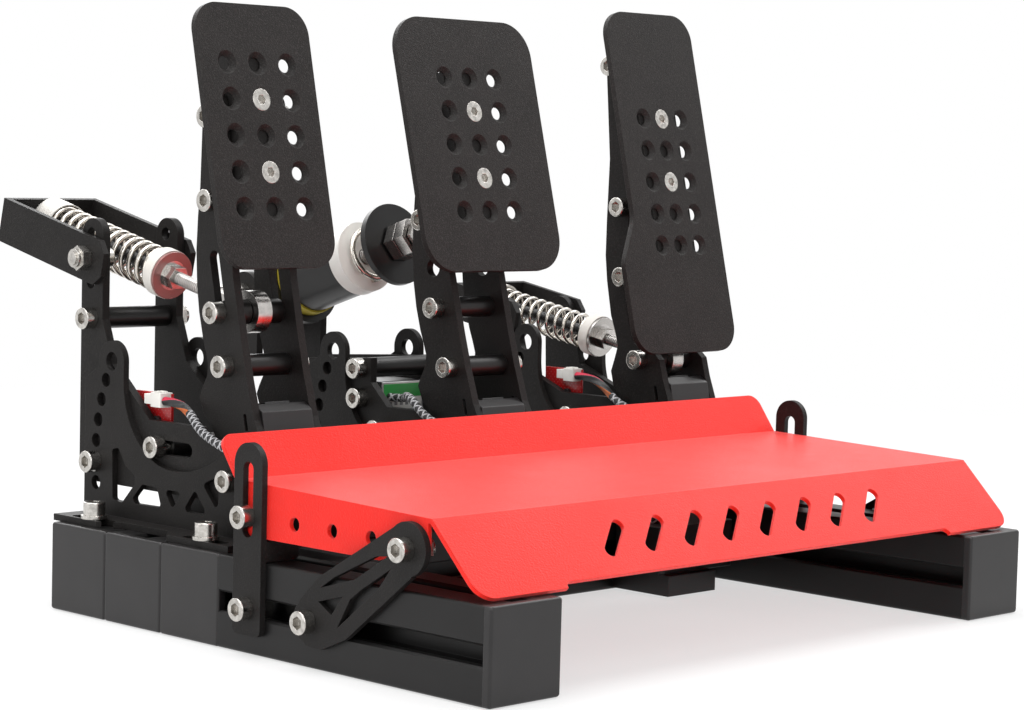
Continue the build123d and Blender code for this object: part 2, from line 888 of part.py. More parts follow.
def side_plates(pedal):
    """Pair of inner plates that turn about the pivot to set a module's angle."""
    with BuildPart() as plates:
        for side in (-1, 1):
            inner_x = pedal.centre_x + side * side_plate_inner
            outer_x = inner_x + side * side_plate_thickness
            with BuildSketch(side_plane(min(inner_x, outer_x))):
                with BuildLine():
                    Polyline(*side_plate_outline(pedal), *eye_bottom(), close=True)
                make_face()
                with Locations((pivot_y, pivot_z)):
                    Circle(side_eye_radius)
                if pedal is clutch:
                    with Locations((side_rear_y - clutch_upright_radius, clutch_upright_z)):
                        Circle(clutch_upright_radius)
                    for step in (-1, 1):
                        with Locations((perch_y, clutch_perch_z + step * perch_hole_pitch)):
                            Circle(screw_hole / 2, mode=Mode.SUBTRACT)
                    with Locations((cross_tube_y, cross_tube_z)):
                        Circle(screw_hole / 2, mode=Mode.SUBTRACT)
                    with Locations((perch_y, clutch_perch_z)):
                        Circle(screw_hole / 2, mode=Mode.SUBTRACT)
                if pedal is throttle:
                    with Locations((perch_y, throttle_perch_z)):
                        Circle(throttle_perch_half_height)
                        Circle(screw_hole / 2, mode=Mode.SUBTRACT)
                if pedal is brake:
                    with Locations((brake_trunnion_y, brake_trunnion_z)):
                        Circle(brake_trunnion_radius)
                        Circle(screw_hole / 2, mode=Mode.SUBTRACT)
                    with Locations((brake_cross_y, brake_cross_z)):
                        Circle(screw_hole / 2, mode=Mode.SUBTRACT)
                    with Locations(cell_screw_place):
                        Circle(screw_hole / 2, mode=Mode.SUBTRACT)
                with Locations((pivot_y, pivot_z), rear_screw_place):
                    Circle(screw_hole / 2, mode=Mode.SUBTRACT)
                with Locations((stop_slot_y, stop_slot_z)):
                    SlotOverall(stop_slot_length, stop_slot_width, mode=Mode.SUBTRACT)
            extrude(amount=side_plate_thickness)
    return plates


for pedal in pedals:
    save(side_plates(pedal), f"{pedal.name}_side_plates")


def chassis_screw_places(pedal):
    """Places and half widths of the screws that cross a module's chassis."""
    places = [
        ((pivot_y, pivot_z), base_plate_outer), (rear_screw_place, base_plate_outer),
        ((stop_screw_y, stop_slot_z), side_plate_outer),
    ]
    if pedal is clutch:
        places.append(((cross_tube_y, cross_tube_z), side_plate_outer))
    if pedal is brake:
        places.append(((brake_cross_y, brake_cross_z), side_plate_outer))
        places.append((cell_screw_place, side_plate_outer))
    return places


perch_points = {"clutch": (perch_y, clutch_perch_z), "throttle": (perch_y, throttle_perch_z)}
wing_outer = side_plate_outer + perch_wing_gap + perch_thickness


def trunnion_screws(pedal, y, z, outer, nut_outside):
    """Pair of short screws on which a perch or cylinder turns, one through each side plate."""
    for side in (-1, 1):
        if nut_outside:
            head_x = pedal.centre_x + side * (side_plate_inner - seat_gap)
            nut_x = pedal.centre_x + side * (outer + seat_gap)
            length = outer - side_plate_inner + nut_height + nut_collar_height + screw_end
            with Locations(place(head_x, y, z, (0, -side * 90, 0))):
                add(cap_screw(length))
            with Locations(place(nut_x, y, z, (0, side * 90, 0))):
                add(hex_nut())
        else:
            head_x = pedal.centre_x + side * (side_plate_outer + seat_gap)
            with Locations(place(head_x, y, z, (0, side * 90, 0))):
                add(cap_screw(outer))


with BuildPart() as chassis_screws:
    for pedal in pedals:
        for spot, half_width in chassis_screw_places(pedal):
            through_screws(pedal, half_width, [spot])
    trunnion_screws(clutch, perch_y, clutch_perch_z, wing_outer, True)
    trunnion_screws(throttle, perch_y, throttle_perch_z, wing_outer, True)
    trunnion_screws(brake, brake_trunnion_y, brake_trunnion_z, brake_trunnion_depth, False)
save(chassis_screws, "chassis_screws")

with BuildPart() as chassis_spacers:
    for pedal in pedals:
        half = side_plate_inner - seat_gap
        cross_tube(pedal.centre_x, half, pivot_y, pivot_z, pivot_sleeve_diameter, spacer_bore)
        cross_tube(pedal.centre_x, half, *rear_screw_place, spacer_diameter, spacer_bore)
        cross_tube(pedal.centre_x, half, stop_screw_y, stop_slot_z, spacer_diameter, spacer_bore)
    cross_tube(clutch.centre_x, half, cross_tube_y, cross_tube_z, spacer_diameter, spacer_bore)
    cross_tube(brake.centre_x, half, brake_cross_y, brake_cross_z, spacer_diameter, spacer_bore)
save(chassis_spacers, "chassis_spacers")


# Pedals


def share_points(shares, reach, height):
    """Places of an outline given as shares of a reach and a height."""
    return [(a * reach, b * height) for a, b in shares]


def arms(pedal):
    """Pair of arm plates of one pedal."""
    is_throttle = pedal is throttle
    height = pedal.arm_top_u + pedal.arm_top_radius
    rear = share_points(throttle_rear_shares if is_throttle else arm_rear_shares, arm_reach, height)
    front = share_points(throttle_front_shares if is_throttle else arm_front_shares, arm_reach, height)
    with BuildPart() as pair:
        for x in (-arm_outer, arm_inner):
            with BuildSketch(pedal_plane(pedal, x)):
                with BuildLine():
                    Polyline(*rear, *front, close=True)
                make_face()
                with Locations((pedal.arm_top_v, pedal.arm_top_u)):
                    Circle(pedal.arm_top_radius)
                Circle(arm_eye_radius)
                Circle(bush_diameter / 2 + fit_clearance, mode=Mode.SUBTRACT)
                for u, v in (*pedal.bracket_screws, *pedal.spacer_screws, pedal.rod_screw):
                    with Locations((v, u)):
                        Circle(screw_hole / 2, mode=Mode.SUBTRACT)
                with Locations((arm_slit_v, arm_slit_u)):
                    SlotOverall(arm_slit_length, arm_slit_width, rotation=90, mode=Mode.SUBTRACT)
                if pedal is clutch:
                    u, v = pedal.rod_screw
                    with Locations((v + adjust_slot_offset, (u + adjust_slot_top_u) / 2)):
                        SlotCenterToCenter(
                            adjust_slot_top_u - u, adjust_slot_width, rotation=90, mode=Mode.SUBTRACT
                        )
                if pedal is brake:
                    with Locations((brake_spare_hole_v, brake_spare_hole_u)):
                        Circle(brake_spare_hole / 2, mode=Mode.SUBTRACT)
            extrude(amount=arm_thickness)
    return pair


def face_hole_rows(pedal):
    """Height of each row of holes in a pedal face, from the bottom row up."""
    return [pedal.hole_middle_u + step * pedal.hole_row for step in (-2, -1, 0, 1, 2)]


def face_outline(pedal):
    """Sketch of a pedal face on its front plane."""
    middle_u = (pedal.face_low_u + pedal.face_high_u) / 2
    with BuildSketch(face_plane(pedal, pedal.face_v + face_thickness)) as outline:
        if pedal is throttle:
            half = pedal.face_half_width
            with BuildLine():
                Polyline(
                    (half, pedal.face_low_u), (half, pedal.face_high_u), (-half, pedal.face_high_u),
                    (-half, throttle_taper_u), (-throttle_foot_reach, throttle_foot_u),
                    (-throttle_foot_reach, pedal.face_low_u),
                    close=True,
                )
            make_face()
            fillet(outline.vertices(), pedal.face_corner)
        else:
            with Locations((0, middle_u)):
                RectangleRounded(
                    2 * pedal.face_half_width, pedal.face_high_u - pedal.face_low_u, pedal.face_corner
                )
    return outline.sketch


def pedal_face(pedal):
    """Drilled plate that the foot presses."""
    with BuildPart() as plate:
        extrude(face_outline(pedal), amount=face_thickness)
        for u in face_hole_rows(pedal):
            for column in (-1, 0, 1):
                with Locations(face_plane(pedal, pedal.face_v)):
                    with Locations((column * pedal.hole_column, u)):
                        CounterSinkHole(face_hole / 2, face_sink / 2, counter_sink_angle=face_sink_angle)
    return plate


def face_bracket(pedal):
    """Folded channel that carries the face on the arms."""
    half = arm_inner - bracket_slack
    back_v = pedal.face_v + face_thickness
    middle_u = (pedal.bracket_low_u + pedal.bracket_high_u) / 2
    length = pedal.bracket_high_u - pedal.bracket_low_u
    with BuildPart() as channel:
        with BuildSketch(face_plane(pedal, back_v + bracket_thickness)):
            with Locations((0, middle_u)):
                Rectangle(2 * half, length)
        extrude(amount=bracket_thickness)
        for x in (-half, half - bracket_thickness):
            with BuildSketch(pedal_plane(pedal, x)):
                with BuildLine():
                    Polyline(
                        (back_v, pedal.bracket_low_u), (bracket_flange_v, pedal.bracket_low_u),
                        (bracket_flange_v, pedal.bracket_low_u + length / 3),
                        (pedal.arm_top_v / 2, pedal.bracket_high_u), (back_v, pedal.bracket_high_u),
                        close=True,
                    )
                make_face()
                for u, v in (*pedal.bracket_screws, pedal.rod_screw):
                    if u > pedal.bracket_low_u:
                        with Locations((v, u)):
                            Circle(screw_hole / 2, mode=Mode.SUBTRACT)
            extrude(amount=bracket_thickness)
        for step in pedal.face_screw_rows:
            with Locations(face_plane(pedal, back_v)):
                with Locations((0, pedal.hole_middle_u + step * pedal.hole_row)):
                    Hole(face_hole / 2, depth=bracket_thickness)
    return channel


def pedal_screws(pedal):
    """Fasteners that move with a pedal: cross screws with nuts, and the face's sunk screws."""
    places = [
        pedal_point(pedal, u, v)
        for u, v in (*pedal.bracket_screws, *pedal.spacer_screws, pedal.rod_screw)
    ]
    with BuildPart() as screws:
        through_screws(pedal, arm_outer, places)
        for step in pedal.face_screw_rows:
            u = pedal.hole_middle_u + step * pedal.hole_row
            sunk = face_plane(pedal, pedal.face_v)
            with BuildSketch(sunk.offset(-seat_gap)) as head:
                with Locations((0, u)):
                    Circle(face_sink / 2 - 2 * fit_clearance)
            with BuildSketch(sunk.offset(-(face_sink - face_hole) / 2)) as neck:
                with Locations((0, u)):
                    Circle(face_hole / 2 - 2 * fit_clearance)
            loft(Sketch() + [head.sketch, neck.sketch])
            extrude(neck.sketch, amount=-face_screw_length)
            with BuildSketch(sunk) as socket:
                with Locations((0, u)):
                    RegularPolygon(face_screw_socket / 2, 6, major_radius=False)
            extrude(socket.sketch, amount=-(face_sink - face_hole) / 2, mode=Mode.SUBTRACT)
    return screws


def arm_spacers(pedal):
    """Tubes that hold a pedal's arms apart, and the bushes on which they turn."""
    clear = arm_inner - seat_gap
    if pedal.rod_screw[0] > pedal.bracket_low_u:
        clear_at_rod = arm_inner - bracket_slack - bracket_thickness - seat_gap
    else:
        clear_at_rod = clear
    with BuildPart() as spacers:
        for u, v in pedal.spacer_screws:
            y, z = pedal_point(pedal, u, v)
            cross_tube(pedal.centre_x, clear, y, z, spacer_diameter, spacer_bore)
        y, z = pedal_point(pedal, *pedal.rod_screw)
        start = rod_end_width / 2 + rod_side_gap
        half = (clear_at_rod - start) / 2
        for side in (-1, 1):
            cross_tube(
                pedal.centre_x + side * (start + half), half, y, z,
                spacer_diameter + 2 * head_edge, spacer_bore,
            )
            bush_bore = pivot_sleeve_diameter / 2 + running_clearance
            inner = side_plane(pedal.centre_x + side * arm_inner)
            spot = Plane(
                origin=inner.from_local_coords((pivot_y, pivot_z)), x_dir=(0, 1, 0), z_dir=(side, 0, 0)
            )
            bar(spot, bush_diameter / 2, arm_thickness + seat_gap, bush_bore)
            bar(
                spot.offset(arm_thickness + seat_gap), bush_flange_diameter / 2,
                bush_flange_thickness, bush_bore,
            )
    return spacers


def magnet_cover(pedal):
    """Moulded cover between the arms, over the sensor's magnet."""
    half = arm_inner - cover_slack
    with BuildPart() as cover:
        with BuildSketch(pedal_plane(pedal, -half)):
            with BuildLine():
                Polyline(
                    (cover_front_v, cover_low_u), (cover_rear_v, cover_low_u),
                    (cover_rear_v, pedal.cover_top_u),
                    (cover_front_v + cover_chamfer, pedal.cover_top_u),
                    (cover_front_v, pedal.cover_top_u - cover_chamfer),
                    close=True,
                )
            make_face()
        extrude(amount=2 * half)
        with BuildSketch(pedal_plane(pedal, -cover_rib_width / 2)):
            with Locations(((cover_front_v + cover_chamfer + cover_rear_v) / 2, pedal.cover_top_u)):
                Rectangle(cover_rear_v - cover_front_v - 2 * cover_chamfer, 2 * cover_rib_height)
        extrude(amount=cover_rib_width)
    return cover


for pedal in pedals:
    save(arms(pedal), f"{pedal.name}_arms")
    save(pedal_face(pedal), f"{pedal.name}_pedal_face")
    save(face_bracket(pedal), f"{pedal.name}_face_bracket")
    save(pedal_screws(pedal), f"{pedal.name}_pedal_screws")
    save(arm_spacers(pedal), f"{pedal.name}_arm_spacers")
    save(magnet_cover(pedal), f"{pedal.name}_magnet_cover")


# Spring units


def coil_point(t, turns, start, length, radius, wire):
    """Point and direction of a spring's wire after t turns: close end turns, even pitch between."""
    end_pitch = wire + close_turn_gap
    free = length - wire - 2 * end_pitch
    rate = free / (turns - 2)
    low = min(t, 1) * end_pitch
    mid = max(0, min(t, turns - 1) - 1) * rate
    high = max(0, t - (turns - 1)) * end_pitch
    ease = end_pitch if t < 1 or t > turns - 1 else rate
    if t in (1, turns - 1):
        ease = (end_pitch + rate) / 2
    turn = 2 * pi * t
    point = Vector(radius * cos(turn), radius * sin(turn), start + wire / 2 + low + mid + high)
    heading = Vector(-2 * pi * radius * sin(turn), 2 * pi * radius * cos(turn), ease).normalized()
    return point, heading


def coil_spring(plane, turns, length, outer_diameter, wire):
    """Compression spring wound from one round wire, standing on a plane."""
    radius = (outer_diameter - wire) / 2
    steps = int(round(turns * 4))
    stations = [coil_point(step / 4, turns, 0, length, radius, wire) for step in range(steps + 1)]
    stations = [
        (
            plane.from_local_coords(point),
            (plane.from_local_coords(heading) - plane.from_local_coords(Vector(0, 0, 0))).normalized(),
        )
        for point, heading in stations
    ]
    with BuildPart() as spring:
        with BuildLine() as path:
            for (p0, t0), (p1, t1) in zip(stations, stations[1:]):
                chord = p1 - p0
                both = t0 + t1
                lead = 1 - t0.dot(t1)
                reach = (
                    -chord.dot(both) + sqrt(chord.dot(both) ** 2 + 2 * lead * chord.dot(chord))
                ) / (2 * lead)
                middle = (p0 + p1 + (t0 - t1) * reach) * 0.5
                heading = (p1 - p0 - both * reach).normalized()
                TangentArc(p0, middle, tangent=t0)
                TangentArc(middle, p1, tangent=heading)
        with BuildSketch(Plane(origin=stations[0][0], z_dir=stations[0][1])):
            Circle(wire / 2)
        sweep(path=path.line)
    wire_path = path.wires()[0]
    count = int(turns * coil_samples)
    spots = [wire_path.position_at(index / count) for index in range(count + 1)]
    gap = min(
        (spots[second] - spots[first]).length - wire
        for first in range(count)
        for second in range(first + coil_samples // 2, min(count + 1, first + 2 * coil_samples))
    )
    print("spring volume", round(spring.part.volume, 1), "least gap on points", round(gap, 3))
    return spring


def rod_end(centre_x, point, slope, eye_clearance):
    """Eye, ball and shank that join a push rod to a pedal's screw."""
    across = slope_plane(centre_x - rod_end_width / 2, point, slope)
    bar(across, rod_end_diameter / 2, rod_end_width)
    shank = rod_plane(centre_x, point, slope, rod_end_diameter / 2 - head_edge)
    bar(shank, rod_end_shank / 2, rod_end_shank_length - rod_end_diameter / 2)
    hole = slope_plane(centre_x - rod_end_width, point, slope)
    bar(hole, screw_radius + eye_clearance, 2 * rod_end_width, mode=Mode.SUBTRACT)


def push_rod(centre_x, point, slope, eye_clearance, cup_start, cup_diameter, length):
    """Push rod of a spring unit with its rod end, lock nut, seat nut and steel washer."""
    with BuildPart() as rod:
        rod_end(centre_x, point, slope, eye_clearance)
        start = rod_end_shank_length - cut_overrun
        bar(rod_plane(centre_x, point, slope, start), rod_diameter / 2, length - start)
        hex_bar(rod_plane(centre_x, point, slope, rod_end_shank_length), nut_width, rod_nut_height)
        nut_start = cup_start - washer_front_thickness - rod_nut_height
        hex_bar(rod_plane(centre_x, point, slope, nut_start), nut_width, rod_nut_height)
        bar(
            rod_plane(centre_x, point, slope, cup_start - washer_front_thickness),
            cup_diameter / 2 - cup_wall_gap, washer_front_thickness,
        )
    return rod


def spring_cup(plane, diameter, length, spring_diameter, facing):
    """Plastic cup that seats one end of a spring; facing 1 opens along the plane's normal."""
    bore = rod_diameter / 2 + cup_bore_gap
    with BuildPart() as cup:
        bar(plane, diameter / 2, facing * length, bore)
        bar(
            plane.offset(facing * cup_floor), spring_diameter / 2 + cup_wall_gap,
            facing * (length - cup_floor + cut_overrun), mode=Mode.SUBTRACT,
        )
        bar(plane.offset(facing * cup_floor), bore + cup_hub_wall, facing * cup_floor, bore)
    return cup


def perch(pedal, point, slope, depth, half_height, rod_bore):
    """Folded U that turns on the side plates and backs the spring."""
    a = radians(slope)
    inner = side_plate_outer + perch_wing_gap
    outer = inner + perch_thickness
    with BuildPart() as channel:
        for x in (pedal.centre_x - outer, pedal.centre_x + inner):
            with BuildSketch(slope_plane(x, point, slope)):
                with BuildLine():
                    Polyline(
                        (-perch_front + perch_chamfer, -half_height), (depth + perch_thickness, -half_height),
                        (depth + perch_thickness, half_height), (-perch_front + perch_chamfer, half_height),
                        (-perch_front, half_height - perch_chamfer),
                        (-perch_front, -half_height + perch_chamfer),
                        close=True,
                    )
                make_face()
                Circle(screw_radius + running_clearance, mode=Mode.SUBTRACT)
            extrude(amount=perch_thickness)
        with BuildSketch(rod_plane(pedal.centre_x, point, slope, depth)):
            Rectangle(2 * outer, 2 * half_height)
            Circle(rod_bore, mode=Mode.SUBTRACT)
        extrude(amount=perch_thickness)
    return channel


def spring_unit(pedal, point, mount, slope, sizes):
    """Write the perch, rod, cups and spring of one spring unit."""
    eye_clearance, cup_start, front_length, cup_length, turns, spring_diameter, wire = sizes[:7]
    cup_diameter, depth, half_height = sizes[7:]
    span = dist(point, mount)
    rear_face = span + depth
    x = pedal.centre_x
    rod_bore = rod_diameter / 2 + cup_bore_gap
    save(perch(pedal, mount, slope, depth, half_height, rod_bore), f"{pedal.name}_perch")
    rod_length = rear_face + perch_thickness + rod_tail
    rod = push_rod(x, point, slope, eye_clearance, cup_start, cup_diameter, rod_length)
    save(rod, f"{pedal.name}_push_rod")
    front = rod_plane(x, point, slope, cup_start + seat_gap)
    rear = rod_plane(x, point, slope, rear_face - seat_gap)
    save(spring_cup(front, cup_diameter, front_length, spring_diameter, 1), f"{pedal.name}_front_cup")
    save(spring_cup(rear, cup_diameter, cup_length, spring_diameter, -1), f"{pedal.name}_rear_cup")
    spring_start = cup_start + seat_gap + cup_floor + face_gap
    spring_length = rear_face - seat_gap - cup_floor - face_gap - spring_start
    stand = rod_plane(x, point, slope, spring_start)
    save(coil_spring(stand, turns, spring_length, spring_diameter, wire), f"{pedal.name}_spring")
    print(pedal.name, "slope", round(slope, 3), "span", round(span, 3), "spring from", round(spring_start, 2))


spring_unit(
    clutch, clutch_rod_point, perch_points["clutch"], clutch_slope,
    (
        clutch_eye_clearance, clutch_cup_start, clutch_front_cup_length, clutch_cup_length, clutch_spring_turns,
        clutch_spring_diameter, clutch_wire, clutch_cup_diameter, clutch_perch_depth,
        clutch_perch_half_height,
    ),
)
spring_unit(
    throttle, throttle_rod_point, perch_points["throttle"], throttle_slope,
    (
        throttle_eye_clearance, throttle_cup_start, throttle_front_cup_length, throttle_cup_length,
        throttle_spring_turns,
        throttle_spring_diameter, throttle_wire, throttle_cup_diameter, throttle_perch_depth,
        throttle_perch_half_height,
    ),
)


# Brake unit


def brake_plane(s):
    """Plane square to the brake rod, s along it from its rod end."""
    return rod_plane(brake.centre_x, brake_rod_point, brake_slope, s)


with BuildPart() as brake_push_rod:
    rod_end(brake.centre_x, brake_rod_point, brake_slope, brake_eye_clearance)
    rod_start = rod_end_shank_length - cut_overrun
    bar(brake_plane(rod_start), brake_rod_diameter / 2, brake_rod_depth - rod_start)
    lock_length = brake_nut_start - rod_end_shank_length
    hex_bar(brake_plane(rod_end_shank_length), brake_lock_width, lock_length)
    for step in (0, 1):
        start = brake_nut_start + head_edge + step * (brake_nut_height + head_edge)
        hex_bar(brake_plane(start), brake_nut_width, brake_nut_height)
save(brake_push_rod, "brake_push_rod")

rod_passage = brake_rod_diameter / 2 + cup_bore_gap
with BuildPart() as brake_spring_disc:
    disc_bore = brake_rod_diameter / 2 + brake_disc_bore_gap
    bar(brake_plane(brake_disc_start), brake_disc_diameter / 2, brake_disc_thickness, disc_bore)
save(brake_spring_disc, "brake_spring_disc")

spring_seat = brake_disc_start + brake_disc_thickness + face_gap
save(
    coil_spring(
        brake_plane(spring_seat), brake_spring_turns, brake_spring_length - 2 * face_gap,
        brake_spring_diameter, brake_wire,
    ),
    "brake_spring",
)

with BuildPart() as brake_nylon_ring:
    bar(brake_plane(brake_ring_start), brake_ring_diameter / 2, brake_ring_length, rod_passage)
save(brake_nylon_ring, "brake_nylon_ring")

with BuildPart() as brake_elastomer:
    elastomer_bore = brake_liner_diameter / 2 + seat_gap
    bar(brake_plane(elastomer_start), elastomer_diameter / 2, elastomer_length, elastomer_bore)
save(brake_elastomer, "brake_elastomer")

with BuildPart() as brake_cylinder:
    bar(brake_plane(brake_sleeve_start), brake_cylinder_diameter / 2, brake_sleeve_length, rod_passage)
    bar(brake_plane(brake_flange_start), brake_flange_diameter / 2, brake_flange_length, rod_passage)
    bar(brake_plane(elastomer_start), brake_liner_diameter / 2, elastomer_length, rod_passage)
    bar(brake_plane(brake_tail_start), brake_cylinder_diameter / 2, brake_tail_length)
    trunnion = side_plane(brake.centre_x - side_plate_inner)
    with BuildSketch(trunnion) as bores:
        with Locations((brake_trunnion_y, brake_trunnion_z)):
            Circle(screw_radius + fit_clearance)
    extrude(bores.sketch, amount=side_plate_gap, mode=Mode.SUBTRACT)
save(brake_cylinder, "brake_cylinder")

with BuildPart() as load_cell:
    with BuildSketch(side_plane(brake.centre_x - cell_width / 2)):
        with Locations((cell_front_y + cell_length / 2, cell_low_z + cell_height / 2)):
            RectangleRounded(cell_length, cell_height, head_edge)
        with Locations(cell_screw_place):
            Circle(screw_hole / 2, mode=Mode.SUBTRACT)
    extrude(amount=cell_width)
save(load_cell, "load_cell")

# Heel plate


def heel_line_z(y):
    """Height of the heel plate's top at a layout y between its folds."""
    share = (y - heel_front_fold_y) / (heel_rear_fold_y - heel_front_fold_y)
    return heel_front_fold_z + share * (heel_rear_fold_z - heel_front_fold_z)


toe_slope = degrees(angle_between((heel_toe_y, heel_toe_z), (heel_front_fold_y, heel_front_fold_z)))
toe_length = dist((heel_toe_y, heel_toe_z), (heel_front_fold_y, heel_front_fold_z))
toe_plane = Plane(
    origin=(0, front_y + heel_toe_y, heel_toe_z),
    x_dir=(1, 0, 0),
    z_dir=(0, -sin(radians(toe_slope)), cos(radians(toe_slope))),
)
heel_side_rear_y = heel_rear_fold_y - heel_relief
heel_side_front_y = heel_front_fold_y + heel_relief / 2

with BuildPart() as heel_plate:
    with BuildSketch(side_plane(-half_base)):
        with BuildLine():
            Polyline(
                (heel_toe_y, heel_toe_z), (heel_front_fold_y, heel_front_fold_z),
                (heel_rear_fold_y, heel_rear_fold_z), (heel_lip_y, heel_lip_z),
            )
            offset(amount=heel_thickness, side=Side.RIGHT, mode=Mode.REPLACE)
        make_face()
    extrude(amount=base_width)
    ends = heel_plate.edges().filter_by(
        lambda edge: edge.length < heel_thickness + seat_gap
    )
    fillet(ends.group_by(Axis.Z)[0], heel_toe_corner)
    lips = heel_plate.edges().filter_by(
        lambda edge: edge.length < heel_thickness + seat_gap and edge.center().Z > heel_rear_fold_z
    )
    fillet(lips.group_by(Axis.Z)[-1], heel_lip_corner)
    with BuildSketch(toe_plane.offset(heel_thickness)) as notch:
        RectangleRounded(2 * heel_toe_notch_half_width, 2 * heel_toe_notch, heel_toe_notch - seat_gap)
    extrude(notch.sketch, amount=-3 * heel_thickness, mode=Mode.SUBTRACT)
    with BuildSketch(toe_plane.offset(heel_thickness)) as slats:
        with Locations((0, toe_length * slat_rise_share)):
            with GridLocations(slat_pitch, 0, slat_count, 1):
                SlotOverall(slat_length, slat_width, rotation=90 - slat_slant)
    extrude(slats.sketch, amount=-3 * heel_thickness, mode=Mode.SUBTRACT)
    for x in (-half_base, half_base - heel_thickness):
        with BuildSketch(side_plane(x)) as cheek:
            with BuildLine():
                Polyline(
                    (heel_side_rear_y, heel_line_z(heel_side_rear_y) - heel_thickness / 2),
                    (heel_side_rear_y, heel_side_low_z), (heel_side_low_y, heel_side_low_z),
                    (heel_side_front_y, heel_side_end_z),
                    (heel_side_front_y, heel_line_z(heel_side_front_y) - heel_thickness / 2),
                    close=True,
                )
            make_face()
            for index in range(heel_side_hole_count):
                with Locations((heel_side_hole_y + index * heel_side_hole_pitch, heel_side_hole_z)):
                    Circle(heel_side_hole / 2, mode=Mode.SUBTRACT)
            with Locations((strut_high_y, strut_high_z), (heel_bracket_y, heel_bracket_screw_z)):
                Circle(screw_hole / 2, mode=Mode.SUBTRACT)
        extrude(cheek.sketch, amount=heel_thickness)
save(heel_plate, "heel_plate")

with BuildPart() as heel_brackets:
    for side in (-1, 1):
        outer_x = half_base + heel_bracket_thickness
        low = min(side * half_base, side * outer_x)
        middle_z = (heel_bracket_low_z + heel_bracket_high_z) / 2
        height = heel_bracket_high_z - heel_bracket_low_z
        front = heel_bracket_y - heel_bracket_width / 2
        with BuildSketch(side_plane(low)) as slotted:
            with Locations((heel_bracket_y, middle_z)):
                RectangleRounded(heel_bracket_width, height, heel_bracket_corner)
            with Locations((heel_bracket_y, heel_bracket_high_z - heel_bracket_width / 2)):
                Rectangle(
                    heel_bracket_width, heel_bracket_width / 2, align=(Align.CENTER, Align.MIN),
                    mode=Mode.SUBTRACT,
                )
                Circle(heel_bracket_width / 2)
            slot_height = heel_bracket_slot_high_z - heel_bracket_slot_low_z
            with Locations((heel_bracket_y, (heel_bracket_slot_low_z + heel_bracket_slot_high_z) / 2)):
                SlotOverall(slot_height, heel_bracket_slot_width, rotation=90, mode=Mode.SUBTRACT)
            with Locations((heel_bracket_y, half_profile)):
                Circle(screw_hole / 2, mode=Mode.SUBTRACT)
        extrude(slotted.sketch, amount=heel_bracket_thickness)
        wing_x = side * (outer_x - heel_wing_reach)
        wing_plane = Plane(origin=(0, front_y + front, 0), x_dir=(1, 0, 0), z_dir=(0, -1, 0))
        with BuildSketch(wing_plane) as wing:
            with Locations(((side * outer_x + wing_x) / 2, (heel_wing_low_z + heel_wing_high_z) / 2)):
                RectangleRounded(heel_wing_reach, heel_wing_high_z - heel_wing_low_z, heel_wing_corner)
        extrude(wing.sketch, amount=-heel_bracket_thickness)
save(heel_brackets, "heel_brackets")


def strut_point(along, across):
    """Layout place on a strut, along as a share of its length, across as a share of its half width."""
    low = (strut_low_y, strut_low_z)
    high = (strut_high_y, strut_high_z)
    run_y, run_z = high[0] - low[0], high[1] - low[1]
    length = hypot(run_y, run_z)
    reach = across * strut_half_width
    return (
        low[0] + along * run_y + reach * run_z / length,
        low[1] + along * run_z - reach * run_y / length,
    )


with BuildPart() as heel_struts:
    for side in (-1, 1):
        with BuildSketch(side_plane(min(side * half_base, side * (half_base + strut_thickness)))) as strut:
            with BuildLine():
                Polyline(*[strut_point(a, b) for a, b in strut_outline_shares], close=True)
            make_face()
            with Locations((strut_low_y, strut_low_z)):
                Circle(strut_low_radius)
            with Locations((strut_high_y, strut_high_z)):
                Circle(strut_high_radius)
            for window in strut_window_shares:
                with BuildLine():
                    Polyline(*[strut_point(a, b) for a, b in window], close=True)
                make_face(mode=Mode.SUBTRACT)
            with Locations((strut_low_y, strut_low_z), (strut_high_y, strut_high_z)):
                Circle(screw_hole / 2, mode=Mode.SUBTRACT)
        extrude(strut.sketch, amount=strut_thickness)
save(heel_struts, "heel_struts")

with BuildPart() as frame_bolts:
    head_y = rail_back_y + cross_profile_count * profile_size - frame_bolt_sink
    for side in (-1, 1):
        seat = Plane(
            origin=(side * (half_base - half_profile), front_y + head_y, half_profile),
            x_dir=(1, 0, 0),
            z_dir=(0, 1, 0),
        )
        bar(seat, frame_bolt_head / 2, frame_bolt_head_height)
        bar(seat, frame_bolt_diameter / 2, rail_back_y - frame_bolt_grip - head_y)
        with BuildSketch(seat.offset(frame_bolt_head_height)) as socket:
            RegularPolygon(socket_width / 2, 6, major_radius=False)
        extrude(socket.sketch, amount=-socket_depth, mode=Mode.SUBTRACT)
save(frame_bolts, "frame_bolts")

